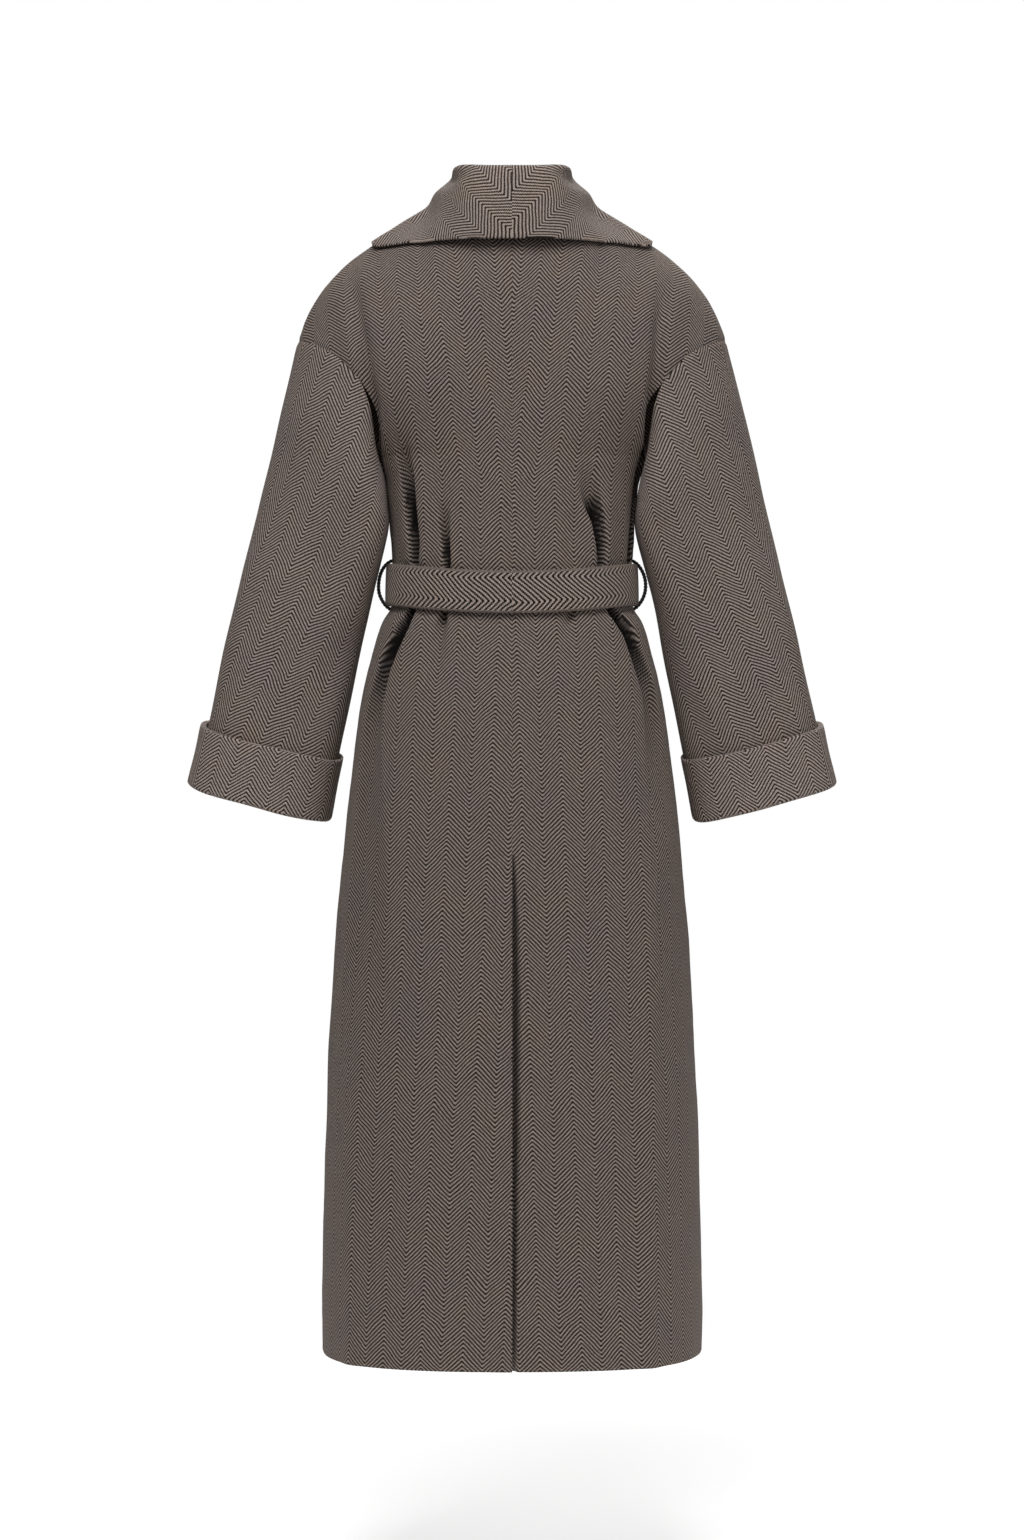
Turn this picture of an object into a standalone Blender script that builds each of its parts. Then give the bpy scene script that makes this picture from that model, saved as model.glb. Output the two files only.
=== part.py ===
"""Long wrap coat, hollow as worn: shawl collar, dropped sleeves with turned-up cuffs, back vent, tie belt.

Metres, +Z up. The front faces -Y, +X is the wearer's left, and the origin is at the centre of the
neck, level with the nape.
"""
from collections import namedtuple

import bmesh
import bpy
import numpy as np
from mathutils import Vector
from mathutils.bvhtree import BVHTree

# Cloth and seams
WALL = 0.0022
SEAM_GAP = 0.0003
LAY_GAP = 0.0034
SEAM_LEAN = 0.3
CLOTH_COLOUR = (0.135, 0.108, 0.094)
THREAD_COLOUR = (0.012, 0.011, 0.011)

# Neck edges from the centre to the shoulder's neck point, and the shoulder seam from there to its tip
NECK = {
    "back": ((0.0, 0.062, 0.0), (0.040, 0.062, 0.0), (0.072, 0.036, 0.008), (0.072, 0.0, 0.012)),
    "front": ((0.0, -0.075, -0.060), (0.045, -0.075, -0.060), (0.072, -0.045, -0.010), (0.072, 0.0, 0.012)),
}
SHOULDER = ((0.072, 0.0, 0.012), (0.150, 0.0, -0.030), (0.209, 0.0, -0.056), (0.2303, 0.0, -0.1367))
TOP_FADE = 3.5
TOP_POWER = 2.5
ROW_SQUARE = 0.66

# Rows from the neck to the underarm: how far round the armhole a row ends (degrees from the shoulder
# tip), the centre line's height and depth behind and in front, how far short of the centre the front
# edge lies, and how the cloth runs into the sleeve (out, forward, down).
Yoke = namedtuple("Yoke", "angle z_back back z_front front edge out forward down")
YOKE = (
    Yoke(0, 0.000, 0.0620, -0.060, 0.075, 0.072, 0.36, 0.00, 0.93),
    Yoke(25, -0.040, 0.0790, -0.090, 0.090, 0.062, 0.55, 0.15, 0.82),
    Yoke(55, -0.088, 0.0920, -0.130, 0.101, 0.050, 0.75, 0.28, 0.60),
    Yoke(90, -0.142, 0.0980, -0.172, 0.107, 0.030, 0.80, 0.42, 0.43),
    Yoke(135, -0.205, 0.0990, -0.218, 0.110, 0.006, 0.42, 0.86, 0.28),
    Yoke(180, -0.264, 0.0980, -0.262, 0.110, -0.014, 0.00, 1.00, 0.00),
)
UNDERARM_LEVEL = len(YOKE) - 1

# Rows from the underarm to the hem: heights behind, at the side and in front, half width, depths, how
# far past the centre the front edge lies, and how square the corners are.
Trunk = namedtuple("Trunk", "z_back z_side z_front half_width back front edge square")
TRUNK = (
    Trunk(-0.264, -0.262, -0.262, 0.1460, 0.0980, 0.1100, -0.014, 0.66),
    Trunk(-0.290, -0.287, -0.286, 0.1372, 0.0975, 0.1080, -0.026, 0.66),
    Trunk(-0.320, -0.315, -0.312, 0.1338, 0.0970, 0.1050, -0.039, 0.65),
    Trunk(-0.352, -0.343, -0.337, 0.1312, 0.0970, 0.1025, -0.053, 0.63),
    Trunk(-0.380, -0.368, -0.356, 0.1290, 0.0975, 0.1010, -0.063, 0.61),
    Trunk(-0.410, -0.398, -0.386, 0.1285, 0.0980, 0.1000, -0.070, 0.60),
    Trunk(-0.434, -0.422, -0.410, 0.1302, 0.1005, 0.1020, -0.073, 0.61),
    Trunk(-0.452, -0.440, -0.428, 0.1405, 0.1055, 0.1070, -0.077, 0.62),
    Trunk(-0.482, -0.470, -0.459, 0.1495, 0.1130, 0.1150, -0.082, 0.64),
    Trunk(-0.538, -0.528, -0.520, 0.1628, 0.1255, 0.1270, -0.088, 0.66),
    Trunk(-0.640, -0.634, -0.630, 0.1760, 0.1400, 0.1410, -0.095, 0.69),
    Trunk(-0.762, -0.759, -0.756, 0.1878, 0.1515, 0.1520, -0.102, 0.71),
    Trunk(-0.890, -0.888, -0.886, 0.1958, 0.1610, 0.1610, -0.107, 0.72),
    Trunk(-1.018, -1.017, -1.016, 0.2008, 0.1680, 0.1670, -0.111, 0.73),
    Trunk(-1.146, -1.146, -1.146, 0.2038, 0.1735, 0.1720, -0.114, 0.73),
    Trunk(-1.2165, -1.2165, -1.2165, 0.2035, 0.1750, 0.1740, -0.116, 0.73),
)
HEM_LEVEL = UNDERARM_LEVEL + len(TRUNK) - 1
BREAK_LEVEL = 9
VENT_LEVEL = 15.4

# Mesh rows and columns of the panels
YOKE_SPANS = 9
LEVELS = (
    list(np.linspace(0, UNDERARM_LEVEL, YOKE_SPANS + 1))
    + [5.5, 6, 7, 8, 8.6, 9, 9.26, 10, 10.94, 11.2, 11.6, 12, 12.5, 13, 13.5, 14, 14.6, 15.32, VENT_LEVEL]
    + [16, 16.6, 17.2, 17.8, 18.4, 19, 19.6, HEM_LEVEL]
)
NECK_SPANS = 4
SHOULDER_STEPS = (0, 0.10, 0.20, 0.29, 0.38, 0.46, 0.54, 0.62, 0.70, 0.78, 0.86, 0.93, 1.0)

# Belt plane: its height at the side seams, its fall towards the back, and the belt's own sizes
BELT_Z = -0.398
BELT_FALL = 0.12
BELT_HEIGHT = 0.045
BELT_THICK = 0.005
BELT_GAP = 0.0016
BELT_CLEAR = 0.003
BELT_EVEN = 0.6
BELT_SPANS = 17
BELT_LEVELS = (9.26, 10.0, 10.94)

# Folds that the belt gathers: distance from the centre at the belt and at the far end, how far above
# (or below) the belt the fold reaches, its depth and its width. FOLD_FADE is how fast they die away.
Fold = namedtuple("Fold", "panel near far reach depth width")
FOLDS = (
    Fold("back_left", 0.112, 0.125, 0.135, 0.015, 0.0100),
    Fold("back_left", 0.073, 0.075, 0.070, 0.006, 0.0080),
    Fold("back_left", 0.117, 0.172, -0.155, 0.014, 0.0105),
    Fold("back_left", 0.072, 0.086, -0.080, 0.007, 0.0090),
    Fold("back_right", 0.102, 0.087, 0.100, 0.012, 0.0095),
    Fold("back_right", 0.146, 0.140, 0.120, 0.006, 0.0100),
    Fold("back_right", 0.117, 0.170, -0.140, 0.012, 0.0105),
    Fold("front_left", 0.108, 0.120, 0.110, 0.008, 0.0110),
    Fold("front_left", 0.112, 0.150, -0.130, 0.009, 0.0110),
    Fold("front_right", 0.115, 0.128, 0.090, 0.007, 0.0110),
    Fold("front_right", 0.118, 0.158, -0.150, 0.010, 0.0110),
)
FOLD_FADE = 1.3

# Lap of the right front over the left: height and how far the right front stands out there
Lap = namedtuple("Lap", "z lift")
LAP = (
    Lap(-1.30, 0.0036),
    Lap(-0.50, 0.0036),
    Lap(-0.40, 0.0045),
    Lap(-0.36, 0.0085),
    Lap(-0.30, 0.0125),
    Lap(-0.21, 0.0125),
    Lap(-0.08, 0.0),
)
LAP_SHARES = (0.95, 0.62)
LAP_START = 1.0
LAP_RUN = 2.0

# Vent: width of the underlap, how far it sinks under the left panel and how wide the step is
VENT_LAP = 0.043
VENT_SINK = 0.0042
VENT_LIFT = 0.0016
VENT_EASE = 0.045
VENT_CLEAR = 0.0006
VENT_RUN = 0.5

# Sleeve stations from the armhole to the cuff's lower edge: outer and inner points, the inner point's
# set-back, the middle's depth, half depth, inward bow, and forward pitch in degrees.
Station = namedtuple("Station", "outer_x outer_z inner_x inner_z set_back middle depth bow pitch")
SLEEVE = (
    Station(0.2303, -0.1367, 0.1460, -0.2620, 0.000, 0.000, 0.0750, 0.0300, 0.0),
    Station(0.2464, -0.1970, 0.1455, -0.2840, 0.014, 0.000, 0.0700, 0.0160, 1.5),
    Station(0.2615, -0.2570, 0.1380, -0.3120, 0.028, -0.003, 0.0640, 0.0080, 4.0),
    Station(0.2755, -0.3170, 0.1340, -0.3430, 0.026, -0.007, 0.0590, 0.0050, 6.0),
    Station(0.2905, -0.3780, 0.1510, -0.4115, 0.010, -0.014, 0.0550, 0.0, 7.0),
    Station(0.3045, -0.4380, 0.1635, -0.4715, 0.0, -0.022, 0.0530, 0.0, 7.5),
    Station(0.3185, -0.4980, 0.1765, -0.5315, 0.0, -0.030, 0.0525, 0.0, 7.5),
    Station(0.3448, -0.6120, 0.2010, -0.6500, 0.0, -0.046, 0.0530, 0.0, 7.5),
)
SLEEVE_LEVELS = (0, 0.5, 1, 1.5, 2, 2.5, 3, 3.6, 4.3, 5.1, 6, 6.965)
BOW_POWER = 2.0
FRONT_BOW = 0.5

# Cuff section: how far along the sleeve (in stations) and how far out from it, once round
CuffPoint = namedtuple("CuffPoint", "along out")
CUFF = (
    CuffPoint(6.470, 0.0012),
    CuffPoint(6.468, 0.0045),
    CuffPoint(6.480, 0.0058),
    CuffPoint(6.975, 0.0068),
    CuffPoint(6.995, 0.0050),
    CuffPoint(7.000, 0.0010),
    CuffPoint(6.992, -0.0022),
    CuffPoint(6.968, -0.0022),
    CuffPoint(6.968, 0.0012),
)
CUFF_BIAS = 0.30
CUFF_BIASED = 0.002

# Collar sections on the left, by place: -1 at the centre back, 0 at the shoulder's neck point, then the
# front row's number. Each has the stand from the neck seam to the roll, the outer edge and the roll's size.
Section = namedtuple("Section", "place stand edge roll")
COLLAR = (
    Section(-1.00, (0.000, 0.019, 0.0415), (0.000, 0.0985, -0.0370), 0.012),
    Section(-0.66, (0.004, 0.018, 0.0410), (0.046, 0.0975, -0.0370), 0.012),
    Section(-0.33, (0.007, 0.014, 0.0365), (0.095, 0.0880, -0.0372), 0.011),
    Section(-0.12, (0.008, 0.006, 0.0280), (0.134, 0.0550, -0.0375), 0.010),
    Section(0.00, (0.007, 0.000, 0.0190), (0.1495, 0.0000, -0.0350), 0.009),
    Section(0.60, (0.004, -0.004, 0.0120), (0.1505, -0.0400, -0.0560), 0.008),
    Section(1.40, (0.000, -0.006, 0.0070), (0.144, -0.0820, -0.0980), 0.006),
    Section(2.40, (-0.002, -0.005, 0.0040), (0.130, -0.1050, -0.1550), 0.005),
    Section(3.60, (-0.003, -0.004, 0.0030), (0.106, -0.1170, -0.2150), 0.005),
    Section(5.00, (-0.003, -0.002, 0.0015), (0.070, -0.1220, -0.2750), 0.0025),
    Section(7.00, (-0.003, -0.002, 0.0015), (0.008, -0.1180, -0.3270), 0.0022),
    Section(9.00, (-0.002, -0.002, 0.0010), (-0.052, -0.1120, -0.3570), 0.0020),
)
STAND_STEPS = (0.0, 0.5, 0.85)
FALL_STEPS = (0.0, 0.15, 0.32, 0.52, 0.76, 1.0)
LAPEL_SPRING = 0.010
LAPEL_PLAY = 0.0006
LAPEL_FLAT = 5.0
LAPEL_EASE = 2.5
ROLL_LEAD = 1.3
RIDGE_GAP = 0.0022
RIDGE_REACH = 0.6

# Belt loops, knot and hanging ends
LOOP_RADIUS = 0.0018
LOOP_STAND = 0.0108
LOOP_HALF_HEIGHT = 0.0285
LOOP_SET_BACK = 0.003
LOOP_SPANS = 10
LOOP_SQUARE = 2.6
KNOT_SIZE = (0.060, 0.034, 0.054)
KNOT_X = 0.012
KNOT_PINCH = 0.28
KNOT_WAIST = 0.25
KNOT_SLANT = 0.18
Tail = namedtuple("Tail", "name x_top x_end z_end")
TAILS = (
    Tail("belt_tail_left", 0.030, 0.052, -0.770),
    Tail("belt_tail_right", -0.008, -0.034, -0.740),
)
TAIL_TOP = -0.4135
TAIL_THICK = 0.004
TAIL_GAP = 0.0011
TAIL_STEM = 0.62
TAIL_SPREAD = 0.25
TAIL_SPANS = 10

DENSE = 48
WELD = 1e-5
BODY_MIDDLE = Vector((0.0, 0.0, -0.20))
SIDES = {"left": 1.0, "right": -1.0}


def spline(values, at):
    """Smooth curve through evenly spaced values, read at one place."""
    values = np.asarray(values, float)
    at = min(max(at, 0.0), len(values) - 1.0)
    first = min(int(at), len(values) - 2)
    t = at - first
    slope = np.gradient(values, axis=0)
    start, end = values[first], values[first + 1]
    rise = (3 * t * t - 2 * t**3) * (end - start)
    lean = (t - 2 * t * t + t**3) * slope[first] + (t**3 - t * t) * slope[first + 1]
    return start + rise + lean


def table_at(table, at):
    """A row of a table of numbers, smoothly between its rows."""
    return type(table[0])(*spline([tuple(row) for row in table], at))


def bezier(corners, t):
    """Points of a cubic curve at the given shares of its run."""
    a, b, c, d = np.asarray(corners, float)
    t = np.asarray(t, float)[:, None]
    return a * (1 - t) ** 3 + 3 * b * t * (1 - t) ** 2 + 3 * c * t * t * (1 - t) + d * t**3


def ease(share):
    """Smooth step from 0 to 1."""
    share = np.clip(share, 0.0, 1.0)
    return share * share * (3 - 2 * share)


def run_of(points):
    """Distance run at each point of a polyline."""
    steps = np.linalg.norm(np.diff(points, axis=0), axis=1)
    return np.concatenate([[0.0], np.cumsum(steps)])


def unit(vectors):
    """Vectors at length one."""
    return vectors / np.maximum(np.linalg.norm(vectors, axis=-1, keepdims=True), 1e-12)


def sleeve_ring(at, degrees):
    """Points round the left sleeve; 0 degrees is the outer side and 90 the back."""
    row = table_at(SLEEVE, at)
    outer = np.array([row.outer_x, row.middle - row.set_back, row.outer_z])
    inner = np.array([row.inner_x, row.middle + row.set_back, row.inner_z])
    across = outer - inner
    angle = np.radians(np.asarray(degrees, float))[:, None]
    pitch = np.radians(row.pitch)
    back = row.depth * np.array([0.0, np.cos(pitch), -np.sin(pitch)])
    inward = unit(np.array([-across[2], 0.0, across[0]]))
    ring = (outer + inner) / 2 + across / 2 * np.cos(angle) + back * np.sin(angle)
    bow = row.bow * np.where(np.sin(angle) < 0, FRONT_BOW, 1.0)
    return ring + inward * bow * np.abs(np.sin(angle)) ** BOW_POWER


def base_row(face, level, shares):
    """A panel's row from its centre to its outer edge, before the shoulder shapes it."""
    sign = 1.0 if face == "back" else -1.0
    centre_rows = [(row.z_back, row.back, row.z_front, row.front) for row in YOKE + TRUNK[1:]]
    z_back, back, z_front, front = spline(centre_rows, level)
    height, depth = (z_back, back) if face == "back" else (z_front, front)
    centre = np.array([0.0, sign * depth, height])
    if level <= UNDERARM_LEVEL:
        yoke = table_at(YOKE, level)
        end = sleeve_ring(0, [sign * yoke.angle])[0]
        turn = unit(np.array([yoke.out, -sign * yoke.forward, -yoke.down]))
        square = ROW_SQUARE
    else:
        trunk = table_at(TRUNK, level - UNDERARM_LEVEL)
        end = np.array([trunk.half_width, 0.0, trunk.z_side])
        turn = np.array([0.0, -sign, 0.0])
        square = trunk.square
    lead = np.array([square * end[0], 0.0, 0.0])
    return bezier((centre, centre + lead, end - square * depth * turn, end), shares)


def top_edge(face):
    """The neck edge and shoulder seam of a panel, and the share of their length at each point."""
    steps = np.linspace(0, 1, DENSE + 1)
    points = np.vstack([bezier(NECK[face], steps), bezier(SHOULDER, steps)[1:]])
    run = run_of(points)
    return points, run / run[-1]


TOP = {face: top_edge(face) for face in NECK}
NECK_SHARE = {face: TOP[face][1][DENSE] for face in NECK}


def half_row(face, level):
    """Close-set points of a panel's row on the left, from the centre to the outer edge."""
    top, shares = TOP[face]
    row = base_row(face, level, shares)
    fade = max(0.0, 1 - level / TOP_FADE) ** TOP_POWER
    return row + fade * (top - base_row(face, 0, shares))


def back_shares(level, row):
    """Where the columns of a back panel lie on a row."""
    neck = NECK_SHARE["back"]
    shoulder = neck + np.array(SHOULDER_STEPS) * (1 - neck)
    return np.concatenate([np.linspace(0, neck, NECK_SPANS + 1)[:-1], shoulder])


def vent_shares(level, row):
    """Columns of the back panel that carries the vent's underlap."""
    lap = VENT_LAP / run_of(row)[-1]
    return np.concatenate([[-lap, -lap / 2], back_shares(level, row)])


def front_shares(level, row):
    """Columns of a front panel, from the side to its front edge."""
    edge = spline([line.edge for line in YOKE + TRUNK[1:]], level)
    share = np.interp(abs(edge), row[:, 0], run_of(row) / run_of(row)[-1])
    edge_share = NECK_SHARE["front"] if level == 0 else np.copysign(share, edge)
    steps = 1 - np.array(SHOULDER_STEPS)[::-1]
    return 1 + steps * (edge_share - 1)


def grid_normals(grid, turn, closed=False):
    """Normals of a grid of points from the slopes of its rows and columns."""
    down = np.gradient(grid, axis=0)
    if closed:
        across = np.roll(grid, -1, axis=1) - np.roll(grid, 1, axis=1)
    else:
        across = np.gradient(grid, axis=1)
    return turn * unit(np.cross(across, down))


def fold_depth(panel, run, height):
    """How far folds move the cloth out (in, where negative) at a distance from the centre."""
    total = np.zeros_like(run)
    half = BELT_HEIGHT / 2
    for fold in FOLDS:
        if fold.panel != panel:
            continue
        reached = height / fold.reach
        line = fold.near + (fold.far - fold.near) * np.clip(reached, 0, 1)
        strength = np.clip(1 - reached, 0, 1) ** FOLD_FADE
        strength = np.where(reached < 0, np.clip(1 - np.abs(height) / half, 0, 1), strength)
        place = (run - line) / fold.width
        total -= fold.depth * strength * (1 - place**2) * np.exp(-(place**2) / 2)
    under_belt = np.abs(height) < half + BELT_CLEAR
    return np.where(under_belt, np.minimum(total, 0.0), total)


def lap_lift(shares, z, levels):
    """How far the right front stands out over the left one."""
    heights = [row.z for row in LAP]
    lift = np.interp(z, heights, [row.lift for row in LAP])
    outer, inner = LAP_SHARES
    return lift * ease((outer - shares) / (outer - inner)) * ease((levels - LAP_START) / LAP_RUN)


def vent_step(panel, run, levels):
    """The left panel stands out along the vent and the right one sinks under it."""
    below = ease((levels - VENT_LEVEL) / VENT_RUN)
    near = ease(1 - run / VENT_EASE)
    if panel == "back_left":
        return VENT_LIFT * below * near
    least = WALL + VENT_CLEAR
    full = np.where(levels >= VENT_LEVEL, least, 0.0)
    deeper = (VENT_SINK - least) * below
    return -(full + deeper) * near


Sheet = namedtuple("Sheet", "points turn keep closed")


def panel_sheet(face, side, shares_at):
    """The outer surface of one body panel with its folds."""
    name = f"{face}_{side}"
    points, runs, shares = [], [], []
    for level in LEVELS:
        row = half_row(face, level)
        run = run_of(row)
        share = shares_at(level, row)
        place = np.abs(share) * run[-1]
        line = np.stack([np.interp(place, run, row[:, k]) for k in range(3)], axis=1)
        line[:, 0] *= np.where(share < 0, -1.0, 1.0) * SIDES[side]
        points.append(line)
        runs.append(np.copysign(place, share))
        shares.append(share)
    grid, run, share = np.array(points), np.array(runs), np.array(shares)
    turn = SIDES[side]
    height = grid[..., 2] - (BELT_Z - BELT_FALL * grid[..., 1])
    move = fold_depth(name, run, height)
    levels = np.array(LEVELS)[:, None] + np.zeros_like(run)
    keep = np.ones((len(LEVELS) - 1, grid.shape[1] - 1), bool)
    if face == "back":
        move = move + vent_step(name, run, levels)
    if name == "front_right":
        move = move + lap_lift(share, grid[..., 2], levels)
    if shares_at is vent_shares:
        above = np.array(LEVELS[:-1]) < VENT_LEVEL
        keep[above, :2] = False
    grid = grid + grid_normals(grid, turn) * move[..., None]
    return Sheet(grid, turn, keep, False)


def sleeve_degrees():
    """Where the sleeve's columns lie round it, matching the rows that end on the armhole."""
    angles = [table_at(YOKE, level).angle for level in LEVELS[: YOKE_SPANS + 1]]
    return np.array(angles + [-angle for angle in angles[-2:0:-1]])


def sleeve_sheet(side):
    """The outer surface of one sleeve."""
    grid = np.array([sleeve_ring(at, sleeve_degrees()) for at in SLEEVE_LEVELS])
    grid[..., 0] *= SIDES[side]
    return Sheet(grid, -SIDES[side], np.ones((len(SLEEVE_LEVELS) - 1, grid.shape[1]), bool), True)


def shared_normals(sheets):
    """Normals at the points of all sheets, averaged where sheets meet along a seam."""
    points, sums = [], []
    for sheet in sheets:
        grid = sheet.points
        if sheet.closed:
            grid = np.concatenate([grid, grid[:, :1]], axis=1)
        a, b, c, d = grid[:-1, :-1], grid[:-1, 1:], grid[1:, 1:], grid[1:, :-1]
        normal = sheet.turn * np.cross(b - d, c - a) * sheet.keep[..., None]
        total = np.zeros_like(grid)
        for rows, columns in ((0, 0), (0, 1), (1, 1), (1, 0)):
            height, width = normal.shape[:2]
            total[rows : rows + height, columns : columns + width] += normal
        points.append(grid.reshape(-1, 3))
        sums.append(total.reshape(-1, 3))
    keys = np.round(np.vstack(points) / WELD).astype(np.int64)
    _, index = np.unique(keys, axis=0, return_inverse=True)
    index = index.reshape(-1)
    total = np.zeros((index.max() + 1, 3))
    np.add.at(total, index, np.vstack(sums))
    normals = unit(total)[index]
    result, first = [], 0
    for sheet, flat in zip(sheets, points):
        rows = len(sheet.points)
        block = normals[first : first + len(flat)].reshape(rows, -1, 3)
        result.append(block[:, : sheet.points.shape[1]])
        first += len(flat)
    return result


def draw_back(near, far, normals, edge, closed=False):
    """One edge of a wall moved away from its seam by half the seam's gap."""
    picks = {"top": (0, 1), "first": (np.s_[:, 0], np.s_[:, 1]), "last": (np.s_[:, -1], np.s_[:, -2])}
    line, inside = picks[edge]
    points = near[line]
    along = np.gradient(points, axis=0)
    if closed:
        along = np.roll(points, -1, axis=0) - np.roll(points, 1, axis=0)
    away = unit(np.cross(along, normals[line]))
    away *= np.sign(np.sum(away * (near[inside] - points)))
    inward = unit(near[inside] - points)
    across = np.sum(away * inward, axis=-1, keepdims=True)
    if not closed:
        away = np.where(across < SEAM_LEAN, away + inward, away)
    near[line] += away * SEAM_GAP / 2
    far[line] += away * SEAM_GAP / 2


def material(name, colour, rough):
    """A plain finish of its own for one piece."""
    finish = bpy.data.materials.new(name)
    finish.use_nodes = True
    shader = finish.node_tree.nodes["Principled BSDF"]
    shader.inputs["Base Color"].default_value = (*colour, 1.0)
    shader.inputs["Roughness"].default_value = rough
    shader.inputs["Metallic"].default_value = 0.0
    return finish


def add_object(name, data, colour=CLOTH_COLOUR, rough=0.9):
    """An object in the coat's collection with its own finish."""
    item = bpy.data.objects.new(name, data)
    data.materials.append(material(name, colour, rough))
    COAT.objects.link(item)
    return item


def wall(name, near, far, keep=None, closed=False):
    """A closed wall of cloth between two grids of points."""
    rows, columns = near.shape[:2]
    spans = columns if closed else columns - 1
    if keep is None:
        keep = np.ones((rows - 1, spans), bool)
    form = bmesh.new()
    sheets = [[[form.verts.new(point) for point in row] for row in grid] for grid in (near, far)]
    edges = set()
    for i, j in zip(*np.nonzero(keep)):
        right = (j + 1) % columns
        loop = ((i, j), (i, right), (i + 1, right), (i + 1, j))
        for sheet in sheets:
            form.faces.new([sheet[row][column] for row, column in loop])
        edges.update(zip(loop, loop[1:] + loop[:1]))
    for start, end in edges:
        if (end, start) not in edges:
            corners = [sheets[0][start[0]][start[1]], sheets[0][end[0]][end[1]]]
            corners += [sheets[1][end[0]][end[1]], sheets[1][start[0]][start[1]]]
            form.faces.new(corners)
    loose = [vert for vert in form.verts if not vert.link_faces]
    bmesh.ops.delete(form, geom=loose, context="VERTS")
    bmesh.ops.recalc_face_normals(form, faces=form.faces)
    mesh = bpy.data.meshes.new(name)
    form.to_mesh(mesh)
    form.free()
    mesh.shade_smooth()
    return add_object(name, mesh)


def surface_tree(grids):
    """A search tree over the outer surfaces of some panels."""
    points, faces = [], []
    for grid in grids:
        first = len(points)
        rows, columns = grid.shape[:2]
        points.extend(Vector(point) for point in grid.reshape(-1, 3))
        for i in range(rows - 1):
            for j in range(columns - 1):
                corner = first + i * columns + j
                faces.append((corner, corner + 1, corner + columns + 1, corner + columns))
    return BVHTree.FromPolygons(points, faces)


def laid_on(tree, point, least, most):
    """A point held between two distances off the panels under it."""
    spot, normal, _, _ = tree.find_nearest(Vector(point))
    offset = np.array(point) - np.array(spot)
    outward = np.array(normal) * (1.0 if normal.dot(spot - BODY_MIDDLE) > 0 else -1.0)
    height = float(offset @ outward)
    if least <= height <= most:
        return point
    return point + outward * (min(max(height, least), most) - height)


def collar_sections(side):
    """Collar table as arrays for one side, by place along the neck."""
    flip = np.array([SIDES[side], 1.0, 1.0])
    places = np.array([row.place for row in COLLAR])
    numbers = np.array([(*(flip * row.stand), *(flip * row.edge), row.roll) for row in COLLAR])
    return places, numbers


def read_section(places, numbers, place):
    """Stand, outer edge and roll of the collar at one place."""
    index = np.interp(place, places, np.arange(len(places)))
    values = spline(numbers, float(index))
    return values[:3], values[3:6], values[6]


def collar_grid(side, seam, places, tree):
    """Under surface of one collar half, from the neck seam over the roll to the outer edge."""
    table = collar_sections(side)
    grid = []
    for start, place in zip(seam, places):
        stand, edge, roll = read_section(*table, place)
        crest = start + stand
        rise = unit(stand)
        span = edge - start
        over = unit(span - (span @ rise) * rise)
        line = []
        for t in STAND_STEPS:
            line.append((1 - t) ** 2 * start + 2 * t * (1 - t) * (crest - roll * over) + t * t * crest)
        for t in FALL_STEPS:
            bend = crest + ROLL_LEAD * roll * over
            point = (1 - t) ** 2 * crest + 2 * t * (1 - t) * bend + t * t * edge
            spring = LAPEL_SPRING * (1 - t) * ease((LAPEL_FLAT - place) / LAPEL_EASE)
            most = LAY_GAP + spring + LAPEL_PLAY if place > 1 else 1.0
            least = LAY_GAP + RIDGE_GAP * np.exp(-((place / RIDGE_REACH) ** 2))
            line.append(laid_on(tree, point, least, most) if t > 0 else point)
        grid.append(line)
    return np.array(grid)


def make_collar(side, back, front, back_normals, front_normals):
    """One half of the shawl collar from the centre back to the break of the lapel."""
    columns = np.arange(NECK_SPANS + 1)
    if back.shape[1] > len(SHOULDER_STEPS) + NECK_SPANS:
        columns = columns + back.shape[1] - len(SHOULDER_STEPS) - NECK_SPANS
    rows = [i for i, level in enumerate(LEVELS) if 0 < level <= BREAK_LEVEL]
    seam = np.vstack([back[0, columns], front[rows, -1]])
    normals = np.vstack([back_normals[0, columns], front_normals[rows, -1]])
    neck_places = np.linspace(-1, 0, NECK_SPANS + 1)
    places = np.concatenate([neck_places, [LEVELS[i] for i in rows]])
    under = collar_grid(side, seam, places, surface_tree([back, front]))
    facing = grid_normals(under, -SIDES[side])
    facing[:, 0] = -normals
    facing[0] = unit(facing[0] * np.array([0.0, 1.0, 1.0]))
    over = under + WALL * facing
    draw_back(under, over, facing, "first")
    draw_back(under, over, facing, "top")
    wall(f"collar_{side}", under, over)


def make_cuff(side):
    """A turned-up cuff: a closed section carried round the end of the sleeve."""
    degrees = sleeve_degrees()
    alongs = sorted({point.along for point in CUFF})
    grid = np.array([sleeve_ring(at, degrees) for at in alongs])
    normals = grid_normals(grid, -1.0, closed=True)
    bias = 1 + CUFF_BIAS * np.cos(np.radians(degrees))
    loops = []
    for point in CUFF:
        row = alongs.index(point.along)
        out = point.out * np.where(point.out > CUFF_BIASED, bias, 1.0)
        loops.append(grid[row] + normals[row] * out[:, None])
    ring = np.array(loops)
    ring[..., 0] *= SIDES[side]
    form = bmesh.new()
    verts = [[form.verts.new(point) for point in loop] for loop in ring]
    for i in range(len(verts)):
        for j in range(len(degrees)):
            after, right = (i + 1) % len(verts), (j + 1) % len(degrees)
            form.faces.new((verts[i][j], verts[i][right], verts[after][right], verts[after][j]))
    bmesh.ops.recalc_face_normals(form, faces=form.faces)
    mesh = bpy.data.meshes.new(f"cuff_{side}")
    form.to_mesh(mesh)
    form.free()
    mesh.shade_smooth()
    add_object(f"cuff_{side}", mesh)


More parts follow.
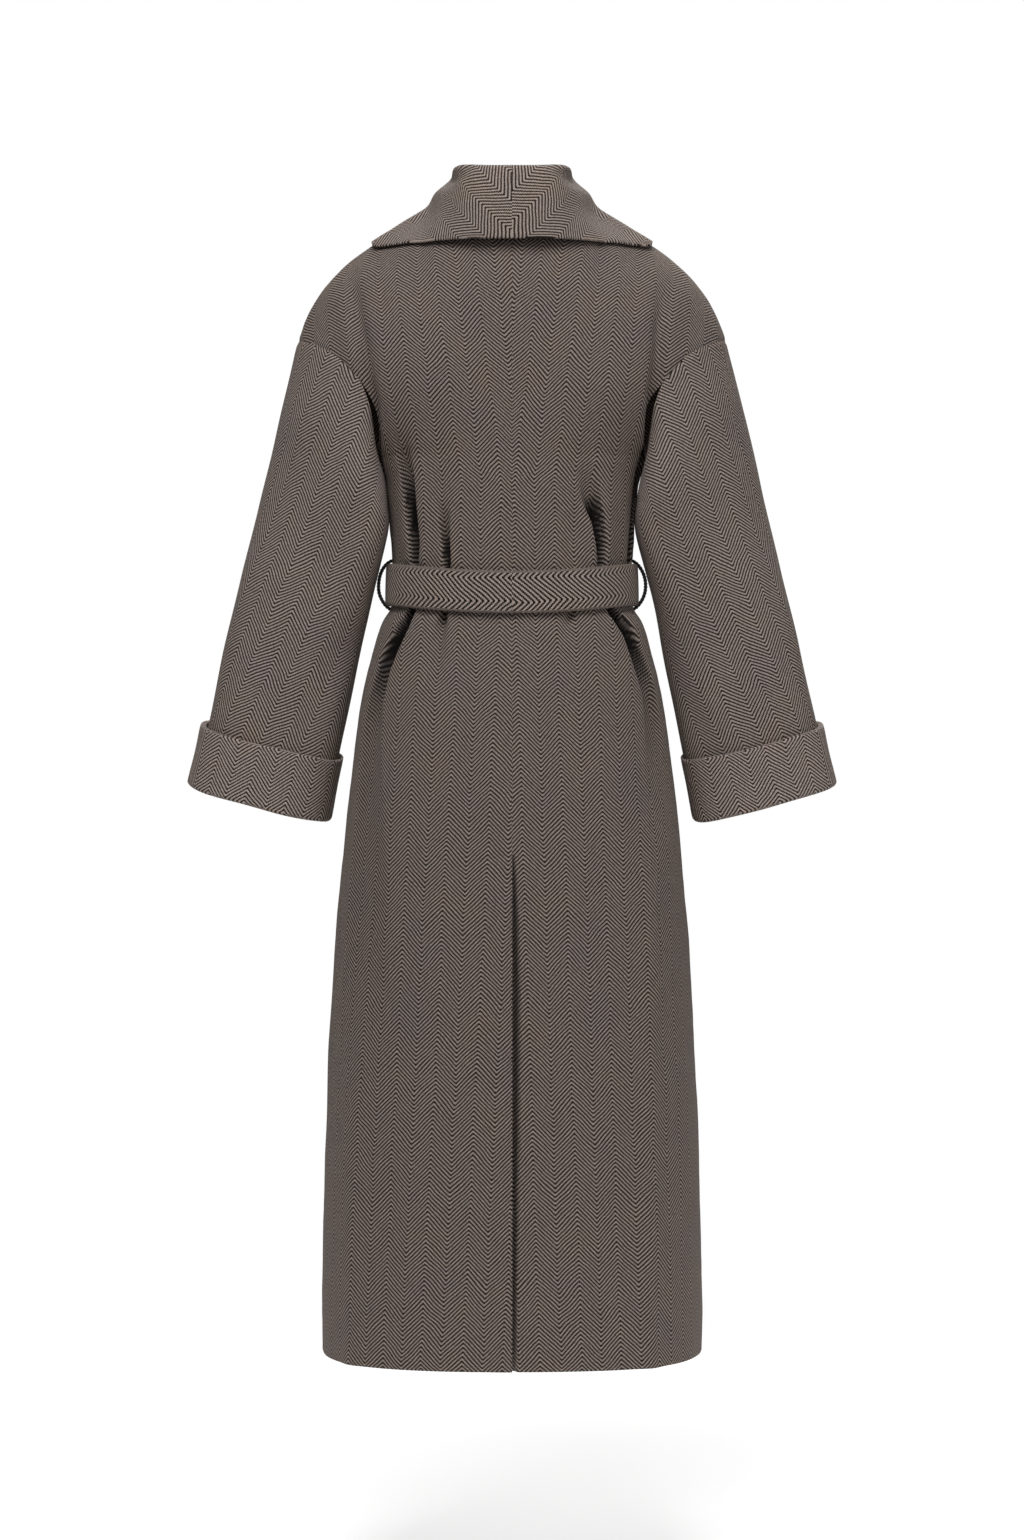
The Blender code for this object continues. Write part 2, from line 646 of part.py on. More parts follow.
def belt_rows():
    """Points of the body under the belt, once round from the centre back by the left."""
    shares = np.linspace(0, 1, BELT_SPANS + 1)
    rows = []
    for level in BELT_LEVELS:
        line = []
        for face, order in (("back", shares), ("front", shares[::-1])):
            row = half_row(face, level)
            run = run_of(row)
            points = np.stack([np.interp(order * run[-1], run, row[:, k]) for k in range(3)], axis=1)
            lift = lap_lift(order, points[:, 2], level) if face == "front" else np.zeros(len(order))
            line.append(np.column_stack([points, lift]))
        half = np.vstack([line[0], line[1][1:]])
        other = half[-2:0:-1] * np.array([-1.0, 1.0, 1.0, 1.0])
        rows.append(np.vstack([half, other]))
    return np.array(rows)


def make_belt():
    """The belt round the waist, lying on the panels."""
    rows = belt_rows()
    grid, lift = rows[..., :3], rows[..., 3]
    normals = unit(grid_normals(grid, 1.0, closed=True) * np.array([1.0, 1.0, 0.0]))
    reach = lift.max(axis=0) + BELT_GAP
    widest = np.max(np.sum(grid * normals, axis=-1), axis=0) - np.sum(grid * normals, axis=-1)
    inner = grid + normals * (reach + BELT_EVEN * widest)[..., None]
    outer = inner + normals * BELT_THICK
    wall("belt_band", outer, inner, closed=True)
    return outer


def make_loop(side, tree):
    """A thread loop standing off the side seam round the belt."""
    curve = bpy.data.curves.new(f"belt_loop_{side}", "CURVE")
    curve.dimensions = "3D"
    curve.bevel_depth = LOOP_RADIUS
    curve.bevel_resolution = 1
    curve.use_fill_caps = True
    spline_data = curve.splines.new("POLY")
    steps = np.linspace(-1, 1, LOOP_SPANS + 1)
    spline_data.points.add(len(steps) - 1)
    for spot, step in zip(spline_data.points, steps):
        z = BELT_Z - step * LOOP_HALF_HEIGHT
        reach = LOOP_STAND * np.sqrt(max(0.0, 1 - abs(step) ** LOOP_SQUARE))
        start = Vector((SIDES[side] * 0.3, LOOP_SET_BACK, z))
        hit = tree.ray_cast(start, Vector((-SIDES[side], 0.0, 0.0)))[0]
        base = abs(hit.x) + LOOP_RADIUS + SEAM_GAP
        spot.co = (SIDES[side] * (base + reach), LOOP_SET_BACK, z, 1.0)
    add_object(f"belt_loop_{side}", curve, THREAD_COLOUR, 0.6)


def make_tail(tail, tree):
    """A belt end hanging from the knot down the front."""
    steps = np.linspace(0, 1, TAIL_SPANS + 1)
    half = BELT_HEIGHT / 2
    near = []
    for step in steps:
        x = tail.x_top + (tail.x_end - tail.x_top) * step
        z = TAIL_TOP + (tail.z_end - TAIL_TOP) * step
        width = half * (TAIL_STEM + (1 - TAIL_STEM) * ease(step / TAIL_SPREAD))
        line = []
        for across in (-1.0, 0.0, 1.0):
            start = Vector((x + across * width, -0.5, z))
            hit = tree.ray_cast(start, Vector((0.0, 1.0, 0.0)))[0]
            line.append(np.array(hit))
        depth = min(point[1] for point in line)
        near.append([np.array([point[0], 0.5 * (point[1] + depth), point[2]]) for point in line])
    grid = np.array(near)
    grid[..., 1] -= TAIL_GAP
    outer = grid.copy()
    outer[..., 1] -= TAIL_THICK
    wall(tail.name, outer, grid)


def make_knot(front_y):
    """The knot: a soft cushion of cloth pinched where the band wraps it."""
    form = bmesh.new()
    bmesh.ops.create_cube(form, size=1.0)
    bmesh.ops.subdivide_edges(form, edges=form.edges[:], cuts=2, use_grid_fill=True)
    for vert in form.verts:
        x, y, z = vert.co
        pinch = 1 - KNOT_PINCH * np.exp(-((z / KNOT_WAIST) ** 2))
        vert.co = (x * pinch * KNOT_SIZE[0], y * KNOT_SIZE[1], (z + KNOT_SLANT * x) * KNOT_SIZE[2])
    mesh = bpy.data.meshes.new("belt_knot")
    form.to_mesh(mesh)
    form.free()
    mesh.shade_smooth()
    knot = add_object("belt_knot", mesh)
    soft = knot.modifiers.new("soft", "SUBSURF")
    soft.levels = 1
    soft.render_levels = 1
    knot.location = (KNOT_X, front_y - KNOT_SIZE[1] / 2, BELT_Z - BELT_FALL * front_y)


def make_body():
    """Panels, sleeves and collars, with their seams parted."""
    names, sheets = [], []
    for side in SIDES:
        names += [f"back_{side}", f"front_{side}", f"sleeve_{side}"]
        sheets.append(panel_sheet("back", side, vent_shares if side == "right" else back_shares))
        sheets.append(panel_sheet("front", side, front_shares))
        sheets.append(sleeve_sheet(side))
    normals = dict(zip(names, shared_normals(sheets)))
    outers = {name: sheet.points.copy() for name, sheet in zip(names, sheets)}
    for name, sheet in zip(names, sheets):
        near = sheet.points.copy()
        far = near - WALL * normals[name]
        if sheet.closed:
            draw_back(near, far, normals[name], "top", closed=True)
        else:
            for edge in ("top", "first", "last"):
                draw_back(near, far, normals[name], edge)
        wall(name, near, far, sheet.keep, sheet.closed)
    for side in SIDES:
        back, front = f"back_{side}", f"front_{side}"
        make_collar(side, outers[back], outers[front], normals[back], normals[front])
        make_cuff(side)
    return outers


for item in list(bpy.data.objects):
    bpy.data.objects.remove(item, do_unlink=True)
COAT = bpy.data.collections.new("wrap_coat")
bpy.context.scene.collection.children.link(COAT)

body = make_body()
belt = make_belt()
body_tree = surface_tree([body[name] for name in ("back_left", "front_left", "back_right", "front_right")])
for side in SIDES:
    make_loop(side, body_tree)
make_knot(belt[..., 1].min())
for tail in TAILS:
    make_tail(tail, body_tree)
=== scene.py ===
"""Looks of the long wrap coat: herringbone wool with its folds, seams, belt, knot and thread loops.

Metres, with the creases in millimetres; +Z up. The front faces -Y, +X is the wearer's left, and the camera
sees the back.
"""
from collections import namedtuple
from functools import partial

import bpy
import numpy as np
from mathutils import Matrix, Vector, noise
from mathutils.bvhtree import BVHTree


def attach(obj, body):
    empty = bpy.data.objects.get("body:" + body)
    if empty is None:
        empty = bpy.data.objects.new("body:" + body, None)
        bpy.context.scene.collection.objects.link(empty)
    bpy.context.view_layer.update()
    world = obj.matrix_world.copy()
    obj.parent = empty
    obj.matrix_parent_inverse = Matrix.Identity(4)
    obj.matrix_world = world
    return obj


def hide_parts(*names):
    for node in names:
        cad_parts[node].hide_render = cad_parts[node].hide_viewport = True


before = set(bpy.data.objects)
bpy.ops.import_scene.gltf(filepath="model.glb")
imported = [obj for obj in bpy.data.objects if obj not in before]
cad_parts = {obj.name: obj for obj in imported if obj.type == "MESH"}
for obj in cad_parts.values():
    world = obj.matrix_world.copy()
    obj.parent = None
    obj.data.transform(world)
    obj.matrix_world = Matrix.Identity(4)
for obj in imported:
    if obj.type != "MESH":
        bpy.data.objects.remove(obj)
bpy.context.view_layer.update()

SIDES = {"left": 1.0, "right": -1.0}
FLIP = {side: np.array([sign, 1.0, 1.0]) for side, sign in SIDES.items()}

# Cloth, seams and the turns of a rounded edge
WALL = 0.0022
COLLAR_WALL = 0.0032
SEAM_DIP = 0.0011
SEAM_WIDTH = 0.0030
SEWN_RIM = 0.0004
SEAM_MEET = 0.0004
SEAM_CALM = 0.018
PUCKER_REACH = 0.014
CENTRE_DIP = 0.5
CENTRE_REACH = 0.012
ROUND = np.radians((45, 90, 135))

# Unevenness of the cloth: size, how close its waves are and where they start on each side
Wave = namedtuple("Wave", "size scale left right")
WAVES = {
    "pucker": Wave(0.0005, 70.0, 3.0, 3.0),
    "panel": Wave(0.0016, 14.0, 11.0, 29.0),
    "sleeve": Wave(0.0020, 13.0, 41.0, 57.0),
    "cuff": Wave(0.0012, 22.0, 71.0, 83.0),
}

# Where the outer and the inner side of a piece lie in its flat square: size and start
BAKE_SIDES = (((0.62, 0.98), (0.01, 0.01)), ((0.34, 0.98), (0.65, 0.01)))
BAKE_SIZE = 0.98
BAKE_START = 0.01

# Neck edges from the centre to the shoulder's neck point, and the shoulder seam from there to its tip
NECK = {
    "back": ((0.0, 0.062, 0.0), (0.040, 0.062, 0.0), (0.072, 0.036, 0.008), (0.072, 0.0, 0.012)),
    "front": ((0.0, -0.075, -0.060), (0.045, -0.075, -0.060), (0.072, -0.045, -0.010), (0.072, 0.0, 0.012)),
}
SHOULDER = ((0.072, 0.0, 0.012), (0.150, 0.0, -0.030), (0.209, 0.0, -0.056), (0.2303, 0.0, -0.1367))
TOP_FADE = 3.5
TOP_POWER = 2.5
ROW_SQUARE = 0.66

# Rows from the neck to the underarm
Yoke = namedtuple("Yoke", "angle z_back back z_front front edge out forward down")
YOKE = [Yoke(*row) for row in (
    (0, 0.000, 0.0620, -0.060, 0.075, 0.072, 0.36, 0.00, 0.93),
    (25, -0.040, 0.0790, -0.090, 0.090, 0.062, 0.55, 0.15, 0.82),
    (55, -0.088, 0.0920, -0.130, 0.101, 0.050, 0.75, 0.28, 0.60),
    (90, -0.142, 0.0980, -0.172, 0.107, 0.030, 0.80, 0.42, 0.43),
    (135, -0.205, 0.0990, -0.218, 0.110, 0.006, 0.42, 0.86, 0.28),
    (180, -0.264, 0.0980, -0.262, 0.110, -0.014, 0.00, 1.00, 0.00),
)]
UNDERARM_LEVEL = len(YOKE) - 1

# Rows from the underarm to the hem
Trunk = namedtuple("Trunk", "z_back z_side z_front half_width back front edge square")
TRUNK = [Trunk(*row) for row in (
    (-0.264, -0.262, -0.262, 0.1460, 0.0980, 0.1100, -0.014, 0.66),
    (-0.290, -0.287, -0.286, 0.1372, 0.0975, 0.1080, -0.026, 0.66),
    (-0.320, -0.315, -0.312, 0.1338, 0.0970, 0.1050, -0.039, 0.65),
    (-0.352, -0.343, -0.337, 0.1312, 0.0970, 0.1025, -0.053, 0.63),
    (-0.380, -0.368, -0.356, 0.1290, 0.0975, 0.1010, -0.063, 0.61),
    (-0.410, -0.398, -0.386, 0.1285, 0.0980, 0.1000, -0.070, 0.60),
    (-0.434, -0.422, -0.410, 0.1302, 0.1005, 0.1020, -0.073, 0.61),
    (-0.452, -0.440, -0.428, 0.1405, 0.1055, 0.1070, -0.077, 0.62),
    (-0.482, -0.470, -0.459, 0.1495, 0.1130, 0.1150, -0.082, 0.64),
    (-0.538, -0.528, -0.520, 0.1628, 0.1255, 0.1270, -0.088, 0.66),
    (-0.640, -0.634, -0.630, 0.1760, 0.1400, 0.1410, -0.095, 0.69),
    (-0.762, -0.759, -0.756, 0.1878, 0.1515, 0.1520, -0.102, 0.71),
    (-0.890, -0.888, -0.886, 0.1958, 0.1610, 0.1610, -0.107, 0.72),
    (-1.018, -1.017, -1.016, 0.2008, 0.1680, 0.1670, -0.111, 0.73),
    (-1.146, -1.146, -1.146, 0.2038, 0.1735, 0.1720, -0.114, 0.73),
    (-1.2165, -1.2165, -1.2165, 0.2035, 0.1750, 0.1740, -0.116, 0.73),
)]
HEM_LEVEL = UNDERARM_LEVEL + len(TRUNK) - 1
BREAK_LEVEL = 9.0
WAIST_LEVEL = 10.0
VENT_LEVEL = 15.4

# Mesh rows between pairs of levels, and mesh columns
Rows = namedtuple("Rows", "first last count")
ROWS = [Rows(*row) for row in (
    (0, UNDERARM_LEVEL, 54),
    (UNDERARM_LEVEL, 8, 26),
    (8, 12, 46),
    (12, 14, 26),
    (14, 15.1, 14),
    (15.1, VENT_LEVEL, 14),
    (VENT_LEVEL, 15.6, 10),
    (15.6, HEM_LEVEL, 66),
)]
LEVELS = np.unique(np.concatenate([np.linspace(row.first, row.last, row.count + 1) for row in ROWS]))
COLUMNS = {"back": 150, "front": 116}
LAP_COLUMNS = 10
CROWD = 0.20
DENSE = 160

# Belt
BELT_Z = -0.398
BELT_FALL = 0.12
BELT_HEIGHT = 0.045
BELT_THICK = 0.005
BELT_GAP = 0.0016
BELT_LEVELS = (9.26, 10.94)
BELT_PRESS = 0.010
BELT_STATIONS = 320
RIBBON_POINTS = 11
RIBBON_CROWN = 0.12

# Lap of the right front over the left
Lap = namedtuple("Lap", "z lift")
LAP = [Lap(*row) for row in (
    (-1.30, 0.0036),
    (-0.50, 0.0036),
    (-0.40, 0.0045),
    (-0.36, 0.0085),
    (-0.30, 0.0125),
    (-0.21, 0.0125),
    (-0.08, 0.0),
)]
LAP_SHARES = (0.95, 0.62)
LAP_START = 1
LAP_RUN = 2

# Vent: the underlap's width; by height, how far the right panel goes under the left and how wide it rolls
VENT_LAP = 0.043
VENT_LIFT = 0.0022
VENT_EASE = 0.035
VENT_OPENS = 0.5
VENT_POWER = 4
Vent = namedtuple("Vent", "z sink roll")
VENT = [Vent(*row) for row in (
    (-1.220, 0.0100, 0.0034),
    (-1.100, 0.0140, 0.0044),
    (-0.960, 0.0190, 0.0058),
    (-0.820, 0.0210, 0.0064),
    (-0.750, 0.0170, 0.0050),
    (-0.710, 0.0110, 0.0036),
    (-0.688, 0.0040, 0.0026),
)]

# Sleeve stations from the armhole to the cuff's lower edge
Station = namedtuple("Station", "outer_x outer_z inner_x inner_z set_back middle depth bow pitch")
SLEEVE = [Station(*row) for row in (
    (0.2303, -0.1367, 0.1460, -0.2620, 0.000, 0.000, 0.0750, 0.0300, 0.0),
    (0.2464, -0.1970, 0.1370, -0.2840, 0.014, 0.000, 0.0700, 0.0160, 1.5),
    (0.2615, -0.2570, 0.1330, -0.3120, 0.028, -0.003, 0.0640, 0.0080, 4.0),
    (0.2755, -0.3170, 0.1325, -0.3430, 0.026, -0.007, 0.0590, 0.0050, 6.0),
    (0.2905, -0.3780, 0.1510, -0.4115, 0.010, -0.014, 0.0550, 0.0, 7.0),
    (0.3045, -0.4380, 0.1635, -0.4715, 0.0, -0.022, 0.0530, 0.0, 7.5),
    (0.3185, -0.4980, 0.1765, -0.5315, 0.0, -0.030, 0.0525, 0.0, 7.5),
    (0.3448, -0.6120, 0.2010, -0.6500, 0.0, -0.046, 0.0530, 0.0, 7.5),
)]
SLEEVE_END = 6.965
SLEEVE_ROWS = 130
SLEEVE_COLUMNS = 150
SLEEVE_CROWD = 1.15
BOW_POWER = 2.0
FRONT_BOW = 0.5
SLEEVE_SQUARE = 1.1
SLEEVE_SQUARED = 2.5

# Cuff section: how far along the sleeve (in stations) and how far out from it, once round
CuffPoint = namedtuple("CuffPoint", "along out")
CUFF = [CuffPoint(*row) for row in (
    (6.520, 0.0012),
    (6.470, 0.0014),
    (6.464, 0.0032),
    (6.470, 0.0052),
    (6.500, 0.0060),
    (6.700, 0.0058),
    (6.940, 0.0066),
    (6.982, 0.0060),
    (6.999, 0.0030),
    (6.999, 0.0000),
    (6.990, -0.0022),
    (6.900, -0.0026),
    (6.800, -0.0026),
    (6.800, -0.0023),
    (6.968, -0.0022),
    (6.972, 0.0012),
)]
CUFF_BIAS = 0.30
CUFF_BIASED = 0.002
CUFF_STEPS = 3
CUFF_LOOK = 0.05

# Collar sections on the left, by place: -1 at the centre back, 0 at the shoulder's neck point, then the
# front row's number. Each has the stand from the neck seam to the roll, the outer edge and the roll's size.
Section = namedtuple("Section", "place stand edge roll")
COLLAR = [Section(*row) for row in (
    (-1.00, (0.000, 0.019, 0.0375), (0.000, 0.0905, -0.0376), 0.012),
    (-0.75, (0.0015, 0.0178, 0.0372), (0.0362, 0.0875, -0.0375), 0.0115),
    (-0.50, (0.0010, 0.0150, 0.0372), (0.0707, 0.0740, -0.0365), 0.0100),
    (-0.30, (-0.0040, 0.0110, 0.0345), (0.1032, 0.0480, -0.0356), 0.0080),
    (-0.15, (-0.0090, 0.0050, 0.0275), (0.1289, 0.0325, -0.0379), 0.0058),
    (-0.05, (-0.0100, 0.0010, 0.0225), (0.1468, 0.0165, -0.0388), 0.0046),
    (0.08, (-0.0100, -0.001, 0.0195), (0.1470, -0.0020, -0.0325), 0.0044),
    (0.60, (-0.004, -0.004, 0.0150), (0.1505, -0.0400, -0.0600), 0.0050),
    (1.40, (-0.003, -0.006, 0.0080), (0.144, -0.0820, -0.0990), 0.0050),
    (2.40, (-0.002, -0.005, 0.0040), (0.130, -0.1050, -0.1550), 0.005),
    (3.60, (-0.003, -0.004, 0.0030), (0.106, -0.1170, -0.2150), 0.005),
    (5.00, (-0.003, -0.002, 0.0015), (0.070, -0.1220, -0.2750), 0.0025),
    (7.00, (-0.003, -0.002, 0.0015), (0.008, -0.1180, -0.3270), 0.0022),
    (9.00, (-0.002, -0.002, 0.0010), (-0.052, -0.1120, -0.3570), 0.0020),
)]
# Mesh of the collar
NECK_SPANS = 56
NECK_CROWD = 1.35
STAND_SPANS = 12
FALL_SPANS = 34
FALL_CROWD = 1.25
FALL_SHARES = np.linspace(0, 1, FALL_SPANS + 1) ** FALL_CROWD
# How the collar springs off the lapels and shoulders, hangs free behind and settles on what is under it
LAPEL_SPRING = 0.010
LAPEL_PLAY = 0.0006
SHOULDER_SPRING = 0.0135
SHOULDER_REACH = 0.0140
SHOULDER_POWER = 1.5
COLLAR_GAP = 0.0012
ROLL_SHARE = 0.32
COLLAR_FREE = 0.70
COLLAR_EASE = 0.65
SETTLE = 0.0020
SMOOTH_REACH = 0.009
REST_STEP = 4
LAPEL_FLAT = 5.0
LAPEL_EASE = 2.5
LAPEL_START = 0.4
LAPEL_BEYOND = 0.5
ROLL_LEAD = 1.3

# Loops, knot and hanging ends
LOOP_RADIUS = 0.0020
LOOP_STAND = 0.0220
LOOP_HALF_HEIGHT = 0.0275
LOOP_SET_BACK = 0.003
LOOP_SQUARE = 2.0
LOOP_SUNK = 0.0065
LOOP_POINTS = 61
LOOP_STRAND = 0.66
LOOP_TWIST = 0.42
LOOP_PITCH = 0.007
LOOP_CLEAR = 0.3
KNOT_X = 0.012
KNOT_TURN = 230.0
KNOT_LEAN = 0.0028
KNOT_OUT = -0.0030
KNOT_DEEP = 0.0125
KNOT_HIGH = 0.0225
KNOT_THICK = 0.0175
KNOT_HALF = 0.019
KNOT_FLARE = 0.006
KNOT_POINTS = 48
Tail = namedtuple("Tail", "name x_top x_end z_end")
TAILS = [Tail(*row) for row in (
    ("belt_tail_left", 0.030, 0.052, -0.770),
    ("belt_tail_right", -0.008, -0.034, -0.740),
)]
TAIL_TOP = -0.4135
TAIL_THICK = 0.004
TAIL_GAP = 0.0011
TAIL_STEM = 0.62
TAIL_SPREAD = 0.25
TAIL_POINTS = 70
TAIL_ENDS = 0.0006
TAIL_CLEAR = 0.5

# Creases and soft folds of each piece, in millimetres: how steep the sides are, how far they stand up,
# and the line from end to end as (distance from the centre, height over the belt, depth, half width)
MILLIMETRE = 0.001
Crease = namedtuple("Crease", "steep rise line")
CREASES = {
    "back_left": (
        Crease(5, 2.2, (
            (124, 170, 0, 10), (118, 118, 10, 8), (114.5, 82, 28, 6.6), (112, 52, 40, 6.2),
            (112.5, 30, 40, 4.8), (113, 0, 24, 3.4))),
        Crease(5, 1.4, (
            (75, 95, 0, 8), (72.5, 58, 10, 4.6), (70.5, 30, 30, 3.4), (70.5, 0, 20, 2.6))),
        Crease(4, 2, (
            (114, 0, 20, 3.4), (116, -22, 36, 4.6), (123, -35, 42, 5.8), (131, -47, 38, 6.6),
            (141, -61, 29, 7.8), (152, -80, 19, 9.4), (164, -117, 11, 12), (169, -160, 6, 16),
            (166, -320, 4, 26), (166, -500, 0, 30))),
        Crease(2.4, 1.2, (
            (74, 0, 8, 3), (75, -23, 12, 4.2), (77.5, -40, 8, 6.2), (83, -65, 4, 9), (88, -105, 0, 12))),
        Crease(2, 1.5, (
            (192, 345, 0, 12), (177, 306, 6, 9), (164, 253, 8, 8.5), (161, 201, 8, 8),
            (170, 158, 6, 7.5), (182, 114, 4, 8.5), (188, 59, 0, 10))),
        Crease(2, 0, (
            (78, 230, 0, 14), (80, 180, 2, 13), (83, 60, 3, 12), (83, 20, 0, 10))),
        Crease(2, 0.4, (
            (2.6, -268.7, 0, 1.8), (7, -269.8, 1.6, 2.1), (20, -272.6, 1, 2.1), (36, -276.2, 1.7, 2.2),
            (42.9, -277.8, 0, 1.8))),
        Crease(2, 0, (
            (172, -380, 0, 16), (176, -560, -3, 16), (180, -800, -4, 15))),
    ),
    "back_right": (
        Crease(5, 2, (
            (83, 135, 0, 12), (86, 98, 8, 8.4), (94.5, 74, 26, 6), (99.5, 47, 38, 5),
            (100.5, 25, 36, 4), (100.5, 0, 20, 3))),
        Crease(4, 1.2, (
            (168, 150, 0, 12), (166, 110, 18, 11), (162, 66, 36, 10), (158, 30, 32, 7.8),
            (157, 0, 12, 5))),
        Crease(4, 2, (
            (114, 0, 20, 3.4), (115.5, -22, 36, 5), (126, -34, 40, 6), (136, -45, 34, 7),
            (149, -70, 20, 9), (167, -107, 11, 12), (173, -150, 6, 16), (180, -230, 0, 22))),
        Crease(2, 0.8, (
            (63, 0, 4, 5), (63, -24, 6, 5), (62, -34, 3, 7), (61, -52, 0, 9))),
        Crease(2.4, 1.5, (
            (174, 335, 0, 12), (164.5, 285, 7, 8.5), (162, 211, 10, 7.5), (172, 158, 8, 7),
            (182, 100, 4, 8), (186, 45, 0, 9))),
        Crease(2, 0, (
            (82, 215, 0, 14), (84, 169, 2.2, 13), (70, 60, 2.6, 12), (66, 20, 0, 10))),
        Crease(2, 0, (
            (156, -220, 0, 16), (153, -311, -3.6, 15), (148, -526, -5, 14), (149, -800, -5.6, 14))),
    ),
    "front_left": (
        Crease(2.4, 1.6, (
            (120, 130, 0, 13), (112, 62, 12, 7.5), (108, 26, 16, 5), (108, 0, 8, 4))),
        Crease(2.4, 1.6, (
            (112, 0, 8, 4), (112, -25, 16, 5), (130, -62, 14, 7.5), (150, -130, 6, 15),
            (158, -240, 0, 20))),
        Crease(2, 0, (
            (148, -330, 0, 28), (158, -560, 6, 32), (166, -830, 8, 36))),
    ),
    "front_right": (
        Crease(2.4, 1.6, (
            (130, 110, 0, 13), (121, 58, 11, 7.5), (115, 26, 15, 5), (115, 0, 8, 4))),
        Crease(2.4, 1.6, (
            (118, 0, 8, 4), (118, -25, 16, 5), (137, -68, 14, 8), (158, -150, 6, 16),
            (165, -260, 0, 20))),
        Crease(2, 1.2, (
            (62, 0, 6, 5), (60, -26, 9, 6), (66, -70, 6, 10), (80, -180, 0, 18))),
        Crease(2, 0, (
            (92, -300, 0, 28), (100, -540, 5.5, 32), (112, -830, 8.5, 36))),
    ),
    "sleeve_left": (
        Crease(2, 0, (
            (70, -20, 0, 12), (50, -90, 4, 13), (18, -190, 3, 16), (-10, -270, 0, 18))),
        Crease(2, 0, (
            (75, -190, 0, 14), (50, -270, 3.4, 15), (30, -350, 3, 17), (22, -440, 0, 18))),
        Crease(2, 0, (
            (-60, -80, 0, 16), (-52, -210, 2.2, 18), (-50, -400, 0, 20))),
    ),
    "sleeve_right": (
        Crease(2, 0, (
            (72, -30, 0, 12), (55, -110, 4.2, 13), (24, -230, 2.6, 16), (4, -310, 0, 18))),
        Crease(2, 0, (
            (78, -230, 0, 14), (58, -310, 3.4, 15), (44, -400, 2.8, 17), (40, -460, 0, 18))),
        Crease(2, 0, (
            (-70, -120, 0, 16), (-58, -260, 2.2, 18), (-56, -430, 0, 20))),
    ),
}
# Slits, with shade painted into them: how steep a crease closes to one, how sharp the edge of the painted
# shade is and the depth that is painted all dark
PAINTED_SHADE_STEEP = 4.0
PAINTED_SHADE_EDGE = 0.22
PAINTED_SHADE_DEPTH = 0.026
# Where the sides of a crease stand up and how broadly, in its half widths
BANK_PLACE = 2.4
BANK_WIDTH = 1.3
# Pulls beside the collar's centre seam, likewise, with the height over the nape
PULLS = {
    "left": Crease(2, 0.3, ((5.2, 37, 0, 1.3), (4.2, 30, 1, 1.3), (1.2, 6, 0, 1.2))),
    "right": Crease(2, 0.3, ((7.4, 28, 0, 1.3), (5.8, 19, 0.8, 1.3), (1.4, 2, 0, 1.2))),
}
PULL_BEHIND = 0.045

# Weave: twill repeat, yarn and column width, and by piece how the columns shift on the way down
TWILL = 0.0045
YARN = TWILL / 4
COLUMN = 19 * YARN
Grain = namedtuple("Grain", "down shift")
GRAIN = {
    "back_left": (Grain(-0.45, -0.0297), Grain(-0.12, 0.0099), Grain(0.0, 0.0099), Grain(0.80, -0.0301)),
    "back_right": (Grain(-0.45, -0.0211), Grain(-0.12, 0.0185), Grain(0.0, 0.0185), Grain(0.80, -0.0079)),
    "front_left": (Grain(-0.45, 0.004), Grain(0.80, -0.024)),
    "front_right": (Grain(-0.45, 0.012), Grain(0.80, -0.016)),
}
SLEEVE_FALL = (0.39, 0.0, -0.92)
SLEEVE_TOP_ROWS = 20
PANEL_TOP_ROWS = 9
HANG_START = 2.5
HANG_EASE = 2.5
BELT_GRAIN = 0.0400
BELT_FINE = 0.76
COLLAR_TURN = 45.0
COLLAR_TURNED = 0.19
COLLAR_SHIFT = {"left": (0.0035, 0.0012), "right": (0.0110, 0.0031)}

# Looks: pale and dark yarn by finish, and how they vary; the finishes of the collar, sleeves, cuffs and
# belt are the body's wool painted lighter or with more contrast
YARNS = {
    "wool": ((0.290, 0.239, 0.213), (0.0115, 0.009, 0.008)),
    # painted light: the collar and sleeves are the same wool painted lighter than the body
    "wool_painted_lighter": ((0.370, 0.308, 0.277), (0.015, 0.012, 0.0105)),
    # painted light: the cuffs are the same wool painted lighter still
    "cuff": ((0.428, 0.356, 0.321), (0.017, 0.0135, 0.012)),
    # painted light: the belt is the same wool painted with paler pale yarn and darker dark yarn
    "belt": ((0.350, 0.289, 0.256), (0.0065, 0.005, 0.0045)),
}
YARN_RANGE = {"pale": (0.72, 1.30), "dark": (0.65, 1.9)}
TONES = ((0.93, 0.95, 1.0), (1.05, 0.99, 0.91))
TWILL_EDGE = (-0.30, 0.40)
WARP_RELIEF = 0.5
WEFT_RELIEF = 0.45
RELIEF_STRENGTH = 0.55
RELIEF_DEPTH = 0.0007
# Painted shade: the near-black colour painted into the bottom of deep creases
FOLD_SHADE = (0.0035, 0.003, 0.0028)
THREAD_TONES = ((0.006, 0.0055, 0.005), (0.022, 0.020, 0.019))
LOOKS = {
    "wool": {"Roughness": 0.92, "Specular IOR Level": 0.12, "Sheen Weight": 0.10, "Sheen Roughness": 0.55,
             "Sheen Tint": (0.78, 0.70, 0.64, 1.0)},
    "thread": {"Roughness": 0.7},
}

# Noise in the looks: scale, detail, lowest and highest value
Fleck = namedtuple("Fleck", "scale detail low high")
FLECKS = {
    "sway": Fleck(22.0, 1.0, -0.0016, 0.0016),
    "drift": Fleck(37.0, 1.0, -0.0010, 0.0010),
    "fray": Fleck(700.0, 2.0, -0.30, 0.30),
    "pale": Fleck(420.0, 3.0, 0.0, 1.0),
    "dark": Fleck(520.0, 3.0, 0.0, 1.0),
    "tone": Fleck(17.0, 2.0, 0.0, 1.0),
    "fuzz": Fleck(900.0, 3.0, -0.35, 0.35),
    "thread": Fleck(900.0, 2.0, 0.0, 1.0),
}
FLECK_FROM = (0.25, 0.75)

